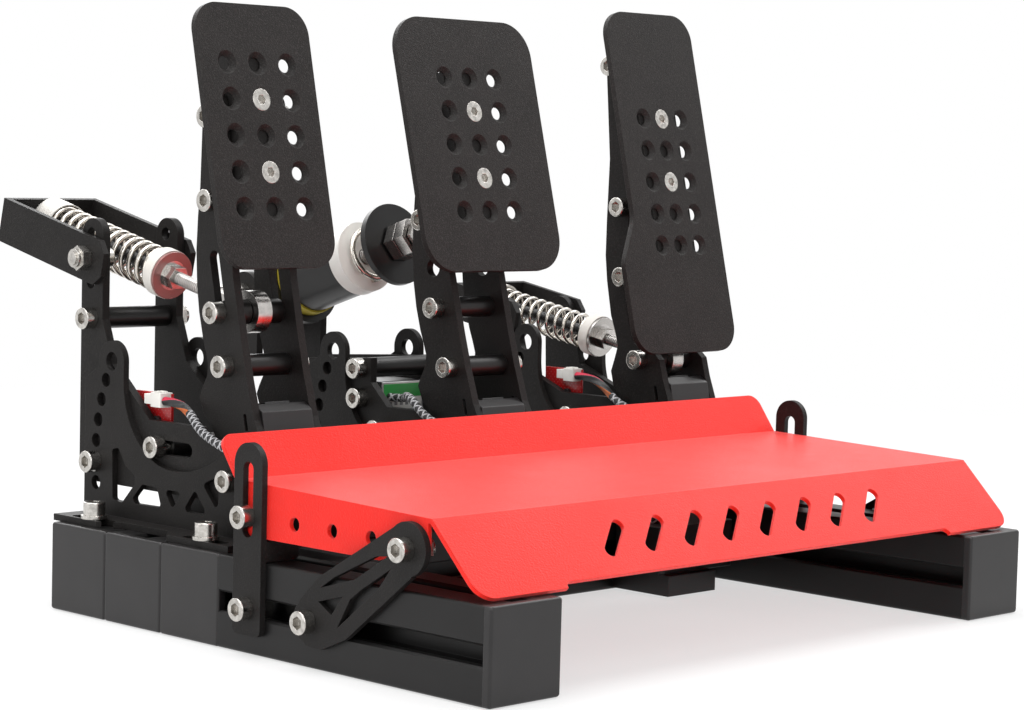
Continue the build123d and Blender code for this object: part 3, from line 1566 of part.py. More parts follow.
foot_screw_length = foot_height + washer_thickness + slot_nut_depth
with BuildPart() as base_screws:
    foot_places = [
        (x, y) for pedal in pedals for side in (-1, 1) for x, y in foot_screw_places(pedal, side)
    ]
    top_of_foot = profile_size + foot_height + seat_gap
    with Locations(*[place(x, y, top_of_foot, (0, 0, 0)) for x, y in foot_places]):
        add(washer())
    head_z = top_of_foot + washer_thickness + seat_gap
    with Locations(*[place(x, y, head_z, (0, 0, 0)) for x, y in foot_places]):
        add(cap_screw(foot_screw_length))
    with Locations(*[place(x, y, profile_size, (0, 0, 0)) for x, y in foot_places]):
        add(slot_nut())
    for side in (-1, 1):
        turn = (0, side * 90, 0)
        plate_outer = half_base + heel_bracket_thickness + seat_gap
        rail_spots = [(heel_bracket_y, half_profile), (strut_low_y, strut_low_z)]
        with Locations(*[place(side * plate_outer, y, z, turn) for y, z in rail_spots]):
            add(cap_screw(heel_bracket_thickness + slot_nut_depth))
        with Locations(*[place(side * half_base, y, z, (0, side * 90, 90)) for y, z in rail_spots]):
            add(slot_nut())
        cheek_spots = [(heel_bracket_y, heel_bracket_screw_z), (strut_high_y, strut_high_z)]
        cheek_screw = heel_bracket_thickness + heel_thickness + nut_height + nut_collar_height + screw_end
        with Locations(*[place(side * plate_outer, y, z, turn) for y, z in cheek_spots]):
            add(cap_screw(cheek_screw))
        nut_x = side * (half_base - heel_thickness - seat_gap)
        with Locations(*[place(nut_x, y, z, (0, -side * 90, 0)) for y, z in cheek_spots]):
            add(hex_nut())
save(base_screws, "base_screws")


# Electronics

with BuildPart() as controller_box:
    box_middle_x = box_left_x + box_width / 2
    depth = rail_back_y - box_front_y
    with Locations((box_middle_x, front_y + rail_back_y - depth / 2, box_low_z + box_height / 2)):
        Box(box_width, depth, box_height)
    fillet(controller_box.edges().filter_by(Axis.Z), box_edge)
    plug_depth = depth + plug_reach
    with Locations((box_left_x + plug_width / 2, front_y + rail_back_y - plug_depth / 2, box_low_z)):
        Box(plug_width, plug_depth, plug_height, align=(Align.CENTER, Align.CENTER, Align.MAX))
save(controller_box, "controller_box")


def sensor_board(pedal):
    """Circuit board on two posts inside the left side plate, with its lead's plug."""
    plate_x = pedal.centre_x - side_plate_inner
    post_z = board_z + board_post_inset
    with BuildSketch(side_plane(plate_x + board_standoff)) as board:
        with Locations((board_y, board_z)):
            Rectangle(board_length, board_height, align=(Align.MIN, Align.MIN))
    extrude(board.sketch, amount=board_thickness)
    with BuildSketch(side_plane(plate_x)) as posts:
        with Locations(
            (board_y + board_post_inset + board_post_diameter, post_z),
            (board_y + board_length - board_post_inset, post_z),
        ):
            Circle(board_post_diameter / 2)
    extrude(posts.sketch, amount=board_standoff)
    with BuildSketch(side_plane(plate_x + board_standoff - plug_block_depth)) as block:
        with Locations((board_y, board_z + board_height - plug_block_height)):
            Rectangle(plug_block_length, plug_block_height, align=(Align.MIN, Align.MIN))
    extrude(block.sketch, amount=plug_block_depth)


with BuildPart() as sensor_boards:
    for pedal in (clutch, throttle):
        sensor_board(pedal)
save(sensor_boards, "sensor_boards")


def sensor_lead(name, route):
    """Sleeved lead along a route of layout points, straight runs joined by tangent arcs."""
    points = [Vector(x, front_y + y, z) for x, y, z in route]
    radii = []
    for before, corner, after in zip(points, points[1:], points[2:]):
        run = min((corner - before).length, (after - corner).length)
        turn = radians((corner - before).get_angle(after - corner))
        radii.append(arc_share * run / tan(turn / 2))
    print(name, "lead radii", [round(radius) for radius in radii], "least", round(min(radii), 1))
    with BuildLine(mode=Mode.PRIVATE) as path:
        FilletPolyline(*points, radius=radii)
    with BuildSketch(Plane(origin=points[0], z_dir=points[1] - points[0]), mode=Mode.PRIVATE) as ring:
        Circle(lead_diameter / 2)
    before_volume = lead_volume()
    route_wire = path.wires()[0]
    sweep(ring.sketch, path=route_wire)
    length = route_wire.length
    print(name, "lead", round(lead_volume() - before_volume, 1), "of", round(length * pi * lead_diameter**2 / 4, 1))


def lead_volume():
    """Volume of the leads made so far."""
    return sensor_leads.part.volume if sensor_leads.part else 0


with BuildPart() as sensor_leads:
    for pedal in pedals:
        head = brake_lead_start if pedal is brake else sensor_lead_start
        near = [(pedal.centre_x + x, y, z) for x, y, z in head + sensor_lead_shoulder]
        sensor_lead(pedal.name, near + lead_ends[pedal.name])
save(sensor_leads, "sensor_leads")
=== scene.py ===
"""Looks of a sim racing pedal set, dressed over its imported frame."""

import json
import logging
import math
from dataclasses import dataclass
from enum import Enum
from typing import Iterable, Sequence

import bmesh
import bpy
from mathutils import Matrix, Vector


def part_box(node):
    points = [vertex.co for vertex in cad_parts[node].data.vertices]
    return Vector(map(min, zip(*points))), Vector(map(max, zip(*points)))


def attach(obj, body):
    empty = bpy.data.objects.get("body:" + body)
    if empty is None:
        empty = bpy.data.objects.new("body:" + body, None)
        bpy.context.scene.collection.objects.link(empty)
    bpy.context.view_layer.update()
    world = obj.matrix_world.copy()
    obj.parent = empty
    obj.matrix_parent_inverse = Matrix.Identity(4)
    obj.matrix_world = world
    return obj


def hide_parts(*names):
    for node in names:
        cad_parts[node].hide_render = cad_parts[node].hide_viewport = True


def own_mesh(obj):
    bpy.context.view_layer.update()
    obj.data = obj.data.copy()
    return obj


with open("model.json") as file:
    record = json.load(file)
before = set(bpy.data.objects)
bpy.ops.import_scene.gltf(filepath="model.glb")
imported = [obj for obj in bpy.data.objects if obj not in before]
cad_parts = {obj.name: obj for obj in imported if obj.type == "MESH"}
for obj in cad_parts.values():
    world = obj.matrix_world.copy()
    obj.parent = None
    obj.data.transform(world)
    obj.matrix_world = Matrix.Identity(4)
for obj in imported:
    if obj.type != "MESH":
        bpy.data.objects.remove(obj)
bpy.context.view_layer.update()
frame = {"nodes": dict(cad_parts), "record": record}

log = logging.getLogger("pedals")

Colour = tuple[float, float, float]
Point = tuple[float, float, float]
Span = tuple[float, float]

MM = 0.001
FRONT_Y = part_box("end_caps")[0].y
IMAGE_WIDTH = 1024

# The pedals' places across the base, read from their side plates
MODULES = ("clutch", "brake", "throttle")
MODULE_X = {name: sum(corner.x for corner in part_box(f"{name}_side_plates")) / 2 for name in MODULES}

# Leads: (x off the module's middle, y, z), then (x, y, z), in layout millimetres
SENSOR_LEAD_START = [(-21, 235.9, 98), (-21, 226, 98)]
BRAKE_LEAD_START = [(-9, 245.9, 92), (-9, 233.5, 92), (-17.5, 225.5, 95)]
LEAD_SHOULDER = [(-24, 214, 94.5), (-28.5, 202, 88.5), (-30, 190, 84.5), (-30, 177, 81), (-27, 165, 73)]
LEAD_ENDS = {
    "clutch": [
        (-151, 154, 62), (-138, 143, 54), (-116, 135, 50), (-78, 139, 51), (-30, 134, 50),
        (18, 139, 51), (58, 143, 56), (75, 145, 52), (81, 146, 43), (81, 146, 34.1),
    ],
    "brake": [
        (-17, 154, 64), (0, 144, 60), (28, 137, 60), (60, 142, 62), (84, 146, 59), (91, 147, 46),
        (91, 147, 34.1),
    ],
    "throttle": [(112, 155, 62), (106, 149, 48), (106, 149, 34.1)],
}
LEAD_DIAMETER = 4 * MM
EYE_RADIUS = 9.5 * MM


def layout(x: float, y: float, z: float) -> Vector:
    """Turn a layout place in millimetres into the row frame.

    Args:
        x: Place across the base.
        y: Distance behind the front of the base.
        z: Height above the floor.

    Returns:
        The place in metres.
    """
    return Vector((x * MM, FRONT_Y + y * MM, z * MM))


def joint_entry(name: str) -> dict:
    """Return a joint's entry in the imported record."""
    joints = frame["record"]["behaviour"]["joints"]
    return next(joint for joint in joints if joint["name"] == name)


def joint_axis(name: str) -> Vector:
    """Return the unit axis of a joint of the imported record."""
    return Vector(joint_entry(name)["axis"]).normalized()


def rod_eye(name: str) -> Vector:
    """Return the middle of the eye of one module's push rod.

    Args:
        name: The module's name.

    Returns:
        The place in metres.
    """
    low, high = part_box(f"{name}_push_rod")
    falls = joint_axis(f"{name}_rod_slide").z < 0
    z = high.z - EYE_RADIUS if falls else low.z + EYE_RADIUS
    return Vector(((low.x + high.x) / 2, low.y + EYE_RADIUS, z))


def line_frame(start: Vector, way: Vector) -> Matrix:
    """Return the frame whose Z axis runs from a point along a direction."""
    return Matrix.Translation(start) @ way.normalized().to_track_quat("Z", "Y").to_matrix().to_4x4()


class Wire:
    """A value that runs through a material's node tree."""

    def __init__(self, tree: "bpy.types.NodeTree", socket: "bpy.types.NodeSocket") -> None:
        """Hold one output socket.

        Args:
            tree: The material's node tree.
            socket: The output that carries the value.
        """
        self.tree = tree
        self.socket = socket

    def _math(self, operation: str, *values: "Wire | float", clamp: bool = False) -> "Wire":
        """Add a maths node.

        Args:
            operation: The node's operation.
            values: Its inputs, wires or numbers.
            clamp: Whether the result is kept between 0 and 1.

        Returns:
            The node's result.
        """
        node = self.tree.nodes.new("ShaderNodeMath")
        node.operation = operation
        node.use_clamp = clamp
        for slot, value in zip(node.inputs, values):
            if isinstance(value, Wire):
                self.tree.links.new(value.socket, slot)
            else:
                slot.default_value = value
        return Wire(self.tree, node.outputs[0])

    def __add__(self, other: "Wire | float") -> "Wire":
        """Return the sum."""
        return self._math("ADD", self, other)

    def __radd__(self, other: float) -> "Wire":
        """Return the sum with a number on the left."""
        return self._math("ADD", other, self)

    def __sub__(self, other: "Wire | float") -> "Wire":
        """Return the difference."""
        return self._math("SUBTRACT", self, other)

    def __rsub__(self, other: float) -> "Wire":
        """Return the difference from a number on the left."""
        return self._math("SUBTRACT", other, self)

    def __mul__(self, other: "Wire | float") -> "Wire":
        """Return the product."""
        return self._math("MULTIPLY", self, other)

    def __rmul__(self, other: float) -> "Wire":
        """Return the product with a number on the left."""
        return self._math("MULTIPLY", other, self)

    def __pow__(self, other: "Wire | float") -> "Wire":
        """Return the power."""
        return self._math("POWER", self, other)

    def sine(self) -> "Wire":
        """Return the sine of the value."""
        return self._math("SINE", self)

    def root(self) -> "Wire":
        """Return the square root of the value."""
        return self._math("SQRT", self)

    def larger(self, other: "Wire | float") -> "Wire":
        """Return the larger of the value and another."""
        return self._math("MAXIMUM", self, other)

    def above(self, limit: "Wire | float") -> "Wire":
        """Return 1 where the value is above a limit, else 0."""
        return self._math("GREATER_THAN", self, limit)

    def below(self, limit: "Wire | float") -> "Wire":
        """Return 1 where the value is below a limit, else 0."""
        return self._math("LESS_THAN", self, limit)

    def between(self, low: float, high: float) -> "Wire":
        """Return 1 where the value lies between two limits."""
        return self.above(low) * self.below(high)

    def fade(self, low: float, high: float) -> "Wire":
        """Return a straight ramp from 0 at low to 1 at high, clamped."""
        return self._math("DIVIDE", self - low, high - low, clamp=True)


class NodeTree:
    """Node tree of a material or world with short ways to add nodes."""

    def __init__(self, owner: "bpy.types.Material | bpy.types.World") -> None:
        """Empty the owner's node tree.

        Args:
            owner: The material or world.
        """
        owner.use_nodes = True
        self.owner = owner
        self.tree = owner.node_tree
        self.tree.nodes.clear()

    def node(
        self, kind: str, output: str | int | None = 0, inputs: dict | None = None, **settings: object
    ) -> Wire | None:
        """Add any node.

        Args:
            kind: The node's type without its ShaderNode prefix.
            output: The output to return, None for a node without one.
            inputs: Values or wires by input name.
            settings: Properties of the node.

        Returns:
            The chosen output.
        """
        node = self.tree.nodes.new(f"ShaderNode{kind}")
        for key, value in settings.items():
            setattr(node, key, value)
        for key, value in (inputs or {}).items():
            if isinstance(value, Wire):
                self.tree.links.new(value.socket, node.inputs[key])
            else:
                node.inputs[key].default_value = value
        return None if output is None else Wire(self.tree, node.outputs[output])

    def place(self) -> Wire:
        """Return the place on the object in metres."""
        return self.node("TexCoord", "Object")

    def noise(self, scale: float, detail: float = 2.0, roughness: float = 0.5) -> Wire:
        """Return noise between 0 and 1.

        Args:
            scale: Cells per metre.
            detail: Octaves.
            roughness: Strength of the higher octaves.

        Returns:
            The noise.
        """
        wanted = {"Vector": self.place(), "Scale": scale, "Detail": detail, "Roughness": roughness}
        return self.node("TexNoise", "Fac", wanted)

    def axis(self, name: str) -> Wire:
        """Return one coordinate of the place in metres."""
        return self.node("SeparateXYZ", name, {"Vector": self.place()})

    def dot(self, vector: Wire, other: "Wire | Vector") -> Wire:
        """Return the dot product of a vector wire with a vector."""
        wanted = {0: vector, 1: other if isinstance(other, Wire) else tuple(other)}
        return self.node("VectorMath", "Value", wanted, operation="DOT_PRODUCT")

    def seen(self) -> Wire:
        """Return 1 for camera, glossy and transmission rays."""
        rays = [self.node("LightPath", f"Is {name} Ray") for name in ("Camera", "Glossy", "Transmission")]
        return rays[0].larger(rays[1]).larger(rays[2])

    def end(self, shader: Wire, kind: str = "OutputMaterial") -> None:
        """Join a shader to the output.

        Args:
            shader: The surface shader.
            kind: The output node's type.
        """
        self.node(kind, None, {"Surface": shader})

    def blend(self, share: Wire, low: "Wire | Colour", high: "Wire | Colour") -> Wire:
        """Mix two colours.

        Args:
            share: 0 for the first colour, 1 for the second.
            low: The first colour.
            high: The second colour.

        Returns:
            The mixed colour.
        """
        pair = {6: low, 7: high}
        wanted = {key: value if isinstance(value, Wire) else (*value, 1.0) for key, value in pair.items()}
        return self.node("Mix", 2, {0: share, **wanted}, data_type="RGBA")


@dataclass(frozen=True)
class Finish:
    """How one material looks."""

    colour: Colour
    metallic: float
    roughness: float
    rough_spread: float = 0.08
    grain_scale: float = 1500.0
    grain_height: float = 0.00009
    speck: float = 0.0
    mottle: float = 0.15
    mottle_scale: float = 60.0
    # Lighter edge colour and its share: partly edge wear, partly a painted highlight where edges catch the
    # light
    edge_colour: Colour | None = None
    edge_share: float = 0.5
    edge_radius: float = 0.0004
    coat: float = 0.0
    specular: float = 0.5
    sheen: float = 0.0


# Edge colours, lighter than their bases: partly wear, partly painted highlights where edges catch the light
POWDER_EDGE: Colour = (0.055, 0.052, 0.050)
ANODISED_EDGE: Colour = (0.05, 0.049, 0.048)
SMOOTH = 0.00001


class Slot(Enum):
    """The record's material slots, each with its finish."""

    black_coat = Finish(
        (0.0125, 0.0113, 0.0108), 0.0, 0.47, speck=0.5, edge_colour=POWDER_EDGE,
        grain_height=0.00014, specular=0.13,
    )
    pedal_face = Finish(
        (0.0155, 0.0138, 0.0132), 0.0, 0.48, speck=0.9, edge_colour=(0.10, 0.095, 0.09),
        grain_height=0.00020, specular=0.15,
    )
    black_anodised = Finish(
        (0.0100, 0.0094, 0.0094), 0.35, 0.38, edge_colour=ANODISED_EDGE, grain_scale=2600.0,
        grain_height=0.00003, mottle=0.1, specular=0.4,
    )
    black_plastic = Finish(
        (0.0135, 0.0122, 0.0125), 0.0, 0.36, grain_scale=1400.0, grain_height=0.00002, edge_radius=0.0008,
        edge_colour=(0.05, 0.048, 0.048), specular=0.42,
    )
    heel_plate = Finish(
        (0.86, 0.014, 0.006), 0.0, 0.38, grain_scale=1100.0, grain_height=0.00024, speck=0.06,
        mottle=0.05, edge_colour=(0.9, 0.06, 0.04), specular=0.10, sheen=0.22,
    )
    heel_black = Finish(
        (0.0130, 0.0118, 0.0114), 0.0, 0.46, speck=0.5, edge_colour=(0.065, 0.062, 0.06),
        grain_height=0.00014, specular=0.15,
    )
    bright_screw = Finish(
        (0.52, 0.50, 0.47), 1.0, 0.24, grain_height=SMOOTH, mottle=0.25, mottle_scale=420.0,
    )
    bright_steel = Finish(
        (0.50, 0.48, 0.46), 1.0, 0.25, grain_height=SMOOTH, mottle=0.2, mottle_scale=220.0,
    )
    spring_steel = Finish(
        (0.60, 0.56, 0.51), 1.0, 0.18, grain_height=SMOOTH, mottle=0.2, mottle_scale=300.0,
    )
    spacer = Finish((0.012, 0.0113, 0.011), 0.4, 0.36, grain_height=0.00003, edge_colour=ANODISED_EDGE)
    cup = Finish((0.78, 0.75, 0.70), 0.0, 0.42, grain_scale=900.0, grain_height=0.00004, mottle=0.07)
    nylon = Finish((0.80, 0.78, 0.74), 0.0, 0.40, grain_scale=900.0, grain_height=0.00004, mottle=0.07)
    elastomer = Finish((0.42, 0.33, 0.02), 0.0, 0.55)
    disc = Finish((0.0105, 0.0100, 0.0100), 0.3, 0.34, grain_height=0.00003, edge_colour=ANODISED_EDGE)
    cylinder = Finish((0.0095, 0.0088, 0.0088), 0.35, 0.33, grain_height=0.00003, edge_colour=ANODISED_EDGE)
    cell = Finish((0.5, 0.5, 0.5), 1.0, 0.38, grain_height=0.00003)
    circuit_board = Finish((0.50, 0.010, 0.012), 0.0, 0.30, grain_height=0.00002, coat=0.3, mottle=0.1)
    sleeve = Finish((0.010, 0.010, 0.011), 0.0, 0.50)


class Surface:
    """Procedural material of one finish."""

    bevel_samples = 4
    edge_span = (0.01, 0.2)
    mottle_span = (0.3, 0.7)
    speck_gain = 2.2
    speck_lift = 0.004
    speck_span = (0.5, 0.72)
    # Patches of the lighter edges, which are partly wear and partly painted highlight
    wear_fineness = 6
    wear_span = (0.35, 0.65)
    smudge_scale = 35.0

    def __init__(self, name: str, finish: Finish) -> None:
        """Keep what the material is made from.

        Args:
            name: The material's name.
            finish: Its finish.
        """
        self.finish = finish
        self.nodes = NodeTree(bpy.data.materials.new(name))

    def colour(self) -> Wire:
        """Return the base colour with mottling, specks and lighter edges, which are partly wear and partly
        painted highlight.

        Returns:
            The colour.
        """
        nodes, finish = self.nodes, self.finish
        dark = tuple(channel * (1 - finish.mottle) for channel in finish.colour)
        light = tuple(min(1.0, channel * (1 + finish.mottle)) for channel in finish.colour)
        mottle = nodes.noise(finish.mottle_scale, detail=5.0).fade(*self.mottle_span)
        base = nodes.blend(mottle, dark, light)
        if finish.speck:
            bright = tuple(min(1.0, channel * self.speck_gain + self.speck_lift) for channel in finish.colour)
            grains = nodes.noise(finish.grain_scale).fade(*self.speck_span)
            base = nodes.blend(grains * finish.speck, base, bright)
        if finish.edge_colour is None:
            return base
        # Painted edge highlight mixed with wear: edges turn towards the lighter edge colour in patches
        patches = nodes.noise(finish.mottle_scale * self.wear_fineness, detail=3.0).fade(*self.wear_span)
        return nodes.blend(self.edge() * patches * finish.edge_share, base, finish.edge_colour)

    def rounded(self) -> Wire:
        """Return the normal with softened edges."""
        return self.nodes.node("Bevel", 0, {"Radius": self.finish.edge_radius}, samples=self.bevel_samples)

    def edge(self) -> Wire:
        """Return 1 on edges and 0 on flats."""
        flat = self.nodes.node("NewGeometry", "Normal")
        return (1.0 - self.nodes.dot(self.rounded(), flat)).fade(*self.edge_span)

    def roughness(self) -> Wire:
        """Return the roughness with smudges.

        Returns:
            The roughness.
        """
        spread = self.finish.rough_spread
        smudge = self.nodes.noise(self.smudge_scale, detail=6.0, roughness=0.6)
        return smudge * (2 * spread) + (self.finish.roughness - spread)

    def metallic(self) -> Wire | float:
        """Return how much of the surface is bare metal."""
        return self.finish.metallic

    def height(self) -> Wire:
        """Return the relief in metres."""
        grain = self.nodes.noise(self.finish.grain_scale, detail=3.0, roughness=0.6)
        return grain * self.finish.grain_height

    def build(self) -> "bpy.types.Material":
        """Wire the material.

        Returns:
            The finished material.
        """
        nodes, finish = self.nodes, self.finish
        relief = {"Height": self.height(), "Distance": 1.0, "Normal": self.rounded()}
        normal = nodes.node("Bump", 0, relief)
        wanted = {
            "Base Color": self.colour(), "Roughness": self.roughness(), "Metallic": self.metallic(),
            "Normal": normal, "Coat Weight": finish.coat, "Specular IOR Level": finish.specular,
            "Sheen Weight": finish.sheen,
        }
        nodes.end(nodes.node("BsdfPrincipled", 0, wanted))
        return nodes.owner


@dataclass(frozen=True)
class RodFit:
    """What lies along one push rod, in metres from its eye."""

    washer: float
    washer_colour: Colour
    black_from: float
    washer_coating: float = 0.0


class RodSurface(Surface):
    """Steel rod with rolled threads, its washer's own colour and a black stretch in the spring."""

    thread_pitch = 1.25 * MM
    thread_depth = 0.00012
    thread_margin = 1.05
    eye_reach = 0.012
    washer_span = (-0.0017, 0.0004)
    washer_inner = 0.0070
    black: Colour = (0.012, 0.011, 0.011)

    def __init__(
        self, name: str, finish: Finish, eye: Vector, axis: Vector, radius: float, fit: RodFit
    ) -> None:
        """Keep the rod's line.

        Args:
            name: The material's name.
            finish: Its finish.
            eye: The middle of the rod end's eye.
            axis: The rod's direction.
            radius: The rod's radius in metres.
            fit: What lies along the rod.
        """
        super().__init__(name, finish)
        self.eye, self.axis_way, self.radius, self.fit = eye, axis, radius, fit

    def _off(self) -> tuple[Wire, Wire]:
        """Measure from the rod's line.

        Returns:
            The distance along the line from the eye, and the distance off it.
        """
        nodes = self.nodes
        from_eye = nodes.node("VectorMath", 0, {0: nodes.place(), 1: tuple(self.eye)}, operation="SUBTRACT")
        along = nodes.dot(from_eye, self.axis_way)
        reach = nodes.node("VectorMath", "Value", {0: from_eye}, operation="LENGTH")
        return along, (reach**2.0 - along**2.0).root()

    def _on_washer(self) -> Wire:
        """Return 1 on the washer.

        Returns:
            The mask.
        """
        along, off = self._off()
        low, high = (self.fit.washer + step for step in self.washer_span)
        return along.between(low, high) * off.above(self.washer_inner)

    def metallic(self) -> Wire:
        """Return less metal on the coated washer and none on the blackened stretch.

        Returns:
            The share of bare metal.
        """
        along, _ = self._off()
        bare = 1.0 - self._on_washer() * self.fit.washer_coating
        return bare * (1.0 - along.above(self.fit.black_from))

    def height(self) -> Wire:
        """Return thread ridges on the bare rod.

        Returns:
            The relief in metres.
        """
        along, off = self._off()
        ridges = (along * (2 * math.pi / self.thread_pitch)).sine() * self.thread_depth
        threaded = off.below(self.radius * self.thread_margin)
        return ridges * threaded * along.above(self.eye_reach) + super().height()

    def colour(self) -> Wire:
        """Return steel, with the washer's and the blackened stretch's colours.

        Returns:
            The colour.
        """
        nodes, fit = self.nodes, self.fit
        along, _ = self._off()
        base = nodes.blend(self._on_washer(), super().colour(), fit.washer_colour)
        return nodes.blend(along.above(fit.black_from), base, self.black)


class SleeveSurface(Surface):
    """Lead whose first stretch shows its three wires, then a two-tone braided sleeve."""

    wires: tuple[Colour, Colour] = ((0.62, 0.015, 0.06), (0.58, 0.13, 0.02))
    strand: Colour = (0.55, 0.55, 0.57)
    wire_count = 3
    wire_turns = 14.0
    wire_from = 0.5
    wire_height = 0.0004
    strand_turns = 170.0
    strand_count = 2
    strand_from = 0.74
    braid_count = 6
    braid_turns = 900.0
    braid_height = 0.00012

    def __init__(self, name: str, finish: Finish, length: float, bare: float) -> None:
        """Keep the lead's lengths.

        Args:
            name: The material's name.
            finish: Its finish.
            length: The lead's length in metres.
            bare: The length of the stretch without sleeve in metres.
        """
        super().__init__(name, finish)
        self.length, self.bare = length, bare

    def _run(self) -> tuple[Wire, Wire]:
        """Measure along and round the lead.

        Returns:
            The distance along it in metres and the turn round it, 0 to 1.
        """
        uv = self.nodes.node("TexCoord", "UV")
        along = self.nodes.node("SeparateXYZ", "X", {"Vector": uv}) * self.length
        return along, self.nodes.node("SeparateXYZ", "Y", {"Vector": uv})

    def _wave(self, turns: float, per_metre: float, shift: float = 0.0) -> Wire:
        """Return a sine that winds round the lead.

        Args:
            turns: Waves round the lead.
            per_metre: Waves along one metre.
            shift: Share of a wave to start from.

        Returns:
            The sine.
        """
        along, turn = self._run()
        return ((turn * turns + along * per_metre + shift) * (2 * math.pi)).sine()

    def colour(self) -> Wire:
        """Return the wires' colours, then the sleeve's.

        Returns:
            The colour.
        """
        nodes = self.nodes
        along, _ = self._run()
        bundle = super().colour()
        for step, paint in enumerate(self.wires):
            wire = self._wave(1, self.wire_turns, step / self.wire_count).above(self.wire_from)
            bundle = nodes.blend(wire, bundle, paint)
        right = self._wave(self.strand_count, self.strand_turns).above(self.strand_from)
        left = self._wave(self.strand_count, -self.strand_turns).above(self.strand_from)
        sleeve = nodes.blend(right.larger(left), super().colour(), self.strand)
        return nodes.blend(along.above(self.bare), bundle, sleeve)

    def height(self) -> Wire:
        """Return the wires' ridges, then the braid's relief.

        Returns:
            The relief in metres.
        """
        along, _ = self._run()
        ridges = self._wave(self.wire_count, self.wire_count * self.wire_turns) * self.wire_height
        right = self._wave(self.braid_count, self.braid_turns)
        left = self._wave(self.braid_count, -self.braid_turns)
        braid = right * left * self.braid_height
        covered = along.above(self.bare)
        return ridges * (1.0 - covered) + braid * covered


class LabelSurface(Surface):
    """Plain sticker, white with a coloured band and rows of grey dashes."""

    band: Colour = (0.03, 0.30, 0.06)
    ink: Colour = (0.25, 0.25, 0.25)
    band_from_share = 0.48
    dash_count = 7
    dash_from = -0.2
    dash_across_shares = (0.1, 0.9)
    dash_up_shares = (0.16, 0.30)

    def __init__(self, name: str, finish: Finish, low: Vector, high: Vector) -> None:
        """Keep the sticker's corners.

        Args:
            name: The material's name.
            finish: Its finish.
            low: Lowest corner.
            high: Highest corner.
        """
        super().__init__(name, finish)
        self.low, self.high = low, high

    def colour(self) -> Wire:
        """Return white, the band and the dashes.

        Returns:
            The colour.
        """
        nodes = self.nodes
        up = nodes.axis("Z").fade(self.low.z, self.high.z)
        across = nodes.axis("X").fade(self.low.x, self.high.x)
        base = nodes.blend(up.above(self.band_from_share), super().colour(), self.band)
        row = (across * (2 * math.pi * self.dash_count)).sine().above(self.dash_from)
        dashes = row * across.between(*self.dash_across_shares)
        return nodes.blend(dashes * up.between(*self.dash_up_shares), base, self.ink)


class BoardSurface(Surface):
    """Lacquered circuit board with tinned pads."""

    tin: Colour = (0.6, 0.58, 0.52)
    pad_pitch = 0.00254
    pad_from = 0.95

    def colour(self) -> Wire:
        """Return lacquer with a grid of pads.

        Returns:
            The colour.
        """
        nodes = self.nodes
        rows = (nodes.axis("Y") * (2 * math.pi / self.pad_pitch)).sine()
        lines = (nodes.axis("Z") * (2 * math.pi / self.pad_pitch)).sine()
        pads = (rows * lines).above(self.pad_from)
        return nodes.blend(pads, super().colour(), self.tin)


class Stock:
    """Makes each slot's material once."""

    def __init__(self) -> None:
        """Start with no material made."""
        self._made: dict[str, bpy.types.Material] = {}

    def of(self, slot: Slot) -> "bpy.types.Material":
        """Return a slot's material.

        Args:
            slot: The slot.

        Returns:
            Its material.
        """
        if slot.name not in self._made:
            self._made[slot.name] = Surface(f"m_{slot.name}", slot.value).build()
        return self._made[slot.name]


class Solid:
    """A mesh under construction, made of rounded blocks, turned shapes and skinned rings."""

    widest_edge_share = 0.4
    edge_segments = 3
    sharp_angle = 35

    def __init__(self, name: str) -> None:
        """Start empty.

        Args:
            name: The object's name.
        """
        self.name = name
        self.mesh = bmesh.new()

    def block(self, low: Sequence[float], high: Sequence[float], edge: float = 0.0002) -> "Solid":
        """Add a block with rounded edges.

        Args:
            low: Lowest corner.
            high: Highest corner.
            edge: Radius of its edges.

        Returns:
            This solid.
        """
        low_corner, high_corner = Vector(low), Vector(high)
        size = high_corner - low_corner
        matrix = Matrix.Translation((low_corner + high_corner) / 2) @ Matrix.Diagonal((*size, 1.0))
        made = bmesh.ops.create_cube(self.mesh, size=1.0, matrix=matrix)
        edges = list({line for vertex in made["verts"] for line in vertex.link_edges})
        offset = min(edge, min(size) * self.widest_edge_share)
        bmesh.ops.bevel(
            self.mesh, geom=edges, offset=offset, segments=self.edge_segments, affect="EDGES", profile=0.5
        )
        return self

    def turned(
        self, start: Vector, way: Vector, profile: Iterable[tuple[float, float]], sides: int = 40
    ) -> "Solid":
        """Add a shape turned round a line.

        Args:
            start: The line's start.
            way: The line's direction.
            profile: (distance along the line, radius) pairs, from a point on the line to another.
            sides: Facets round the line.

        Returns:
            This solid.
        """
        matrix = line_frame(start, way)
        angles = [2 * math.pi * side / sides for side in range(sides)]
        rings = []
        for along, radius in profile:
            ring = [Vector((radius * math.cos(a), radius * math.sin(a), along)) for a in angles]
            rings.append([matrix @ spot for spot in ring])
        return self.skin(rings)

    def skin(self, rings: Sequence[Sequence[Vector]]) -> "Solid":
        """Join closed rings of points to a capped tube.

        Args:
            rings: The rings, each with as many points.

        Returns:
            This solid.
        """
        made = [[self.mesh.verts.new(spot) for spot in ring] for ring in rings]
        sides = len(made[0])
        for first, second in zip(made, made[1:]):
            for side in range(sides):
                other = (side + 1) % sides
                self.mesh.faces.new((first[side], first[other], second[other], second[side]))
        self.mesh.faces.new(list(reversed(made[0])))
        self.mesh.faces.new(made[-1])
        return self

    def finish(self, material: "bpy.types.Material") -> "bpy.types.Object":
        """Turn the mesh into an object.

        Args:
            material: Its material.

        Returns:
            The object.
        """
        data = bpy.data.meshes.new(self.name)
        bmesh.ops.recalc_face_normals(self.mesh, faces=self.mesh.faces)
        self.mesh.to_mesh(data)
        self.mesh.free()
        for face in data.polygons:
            face.use_smooth = True
        data.set_sharp_from_angle(angle=math.radians(self.sharp_angle))
        data.materials.append(material)
        piece = bpy.data.objects.new(self.name, data)
        bpy.context.scene.collection.objects.link(piece)
        return piece


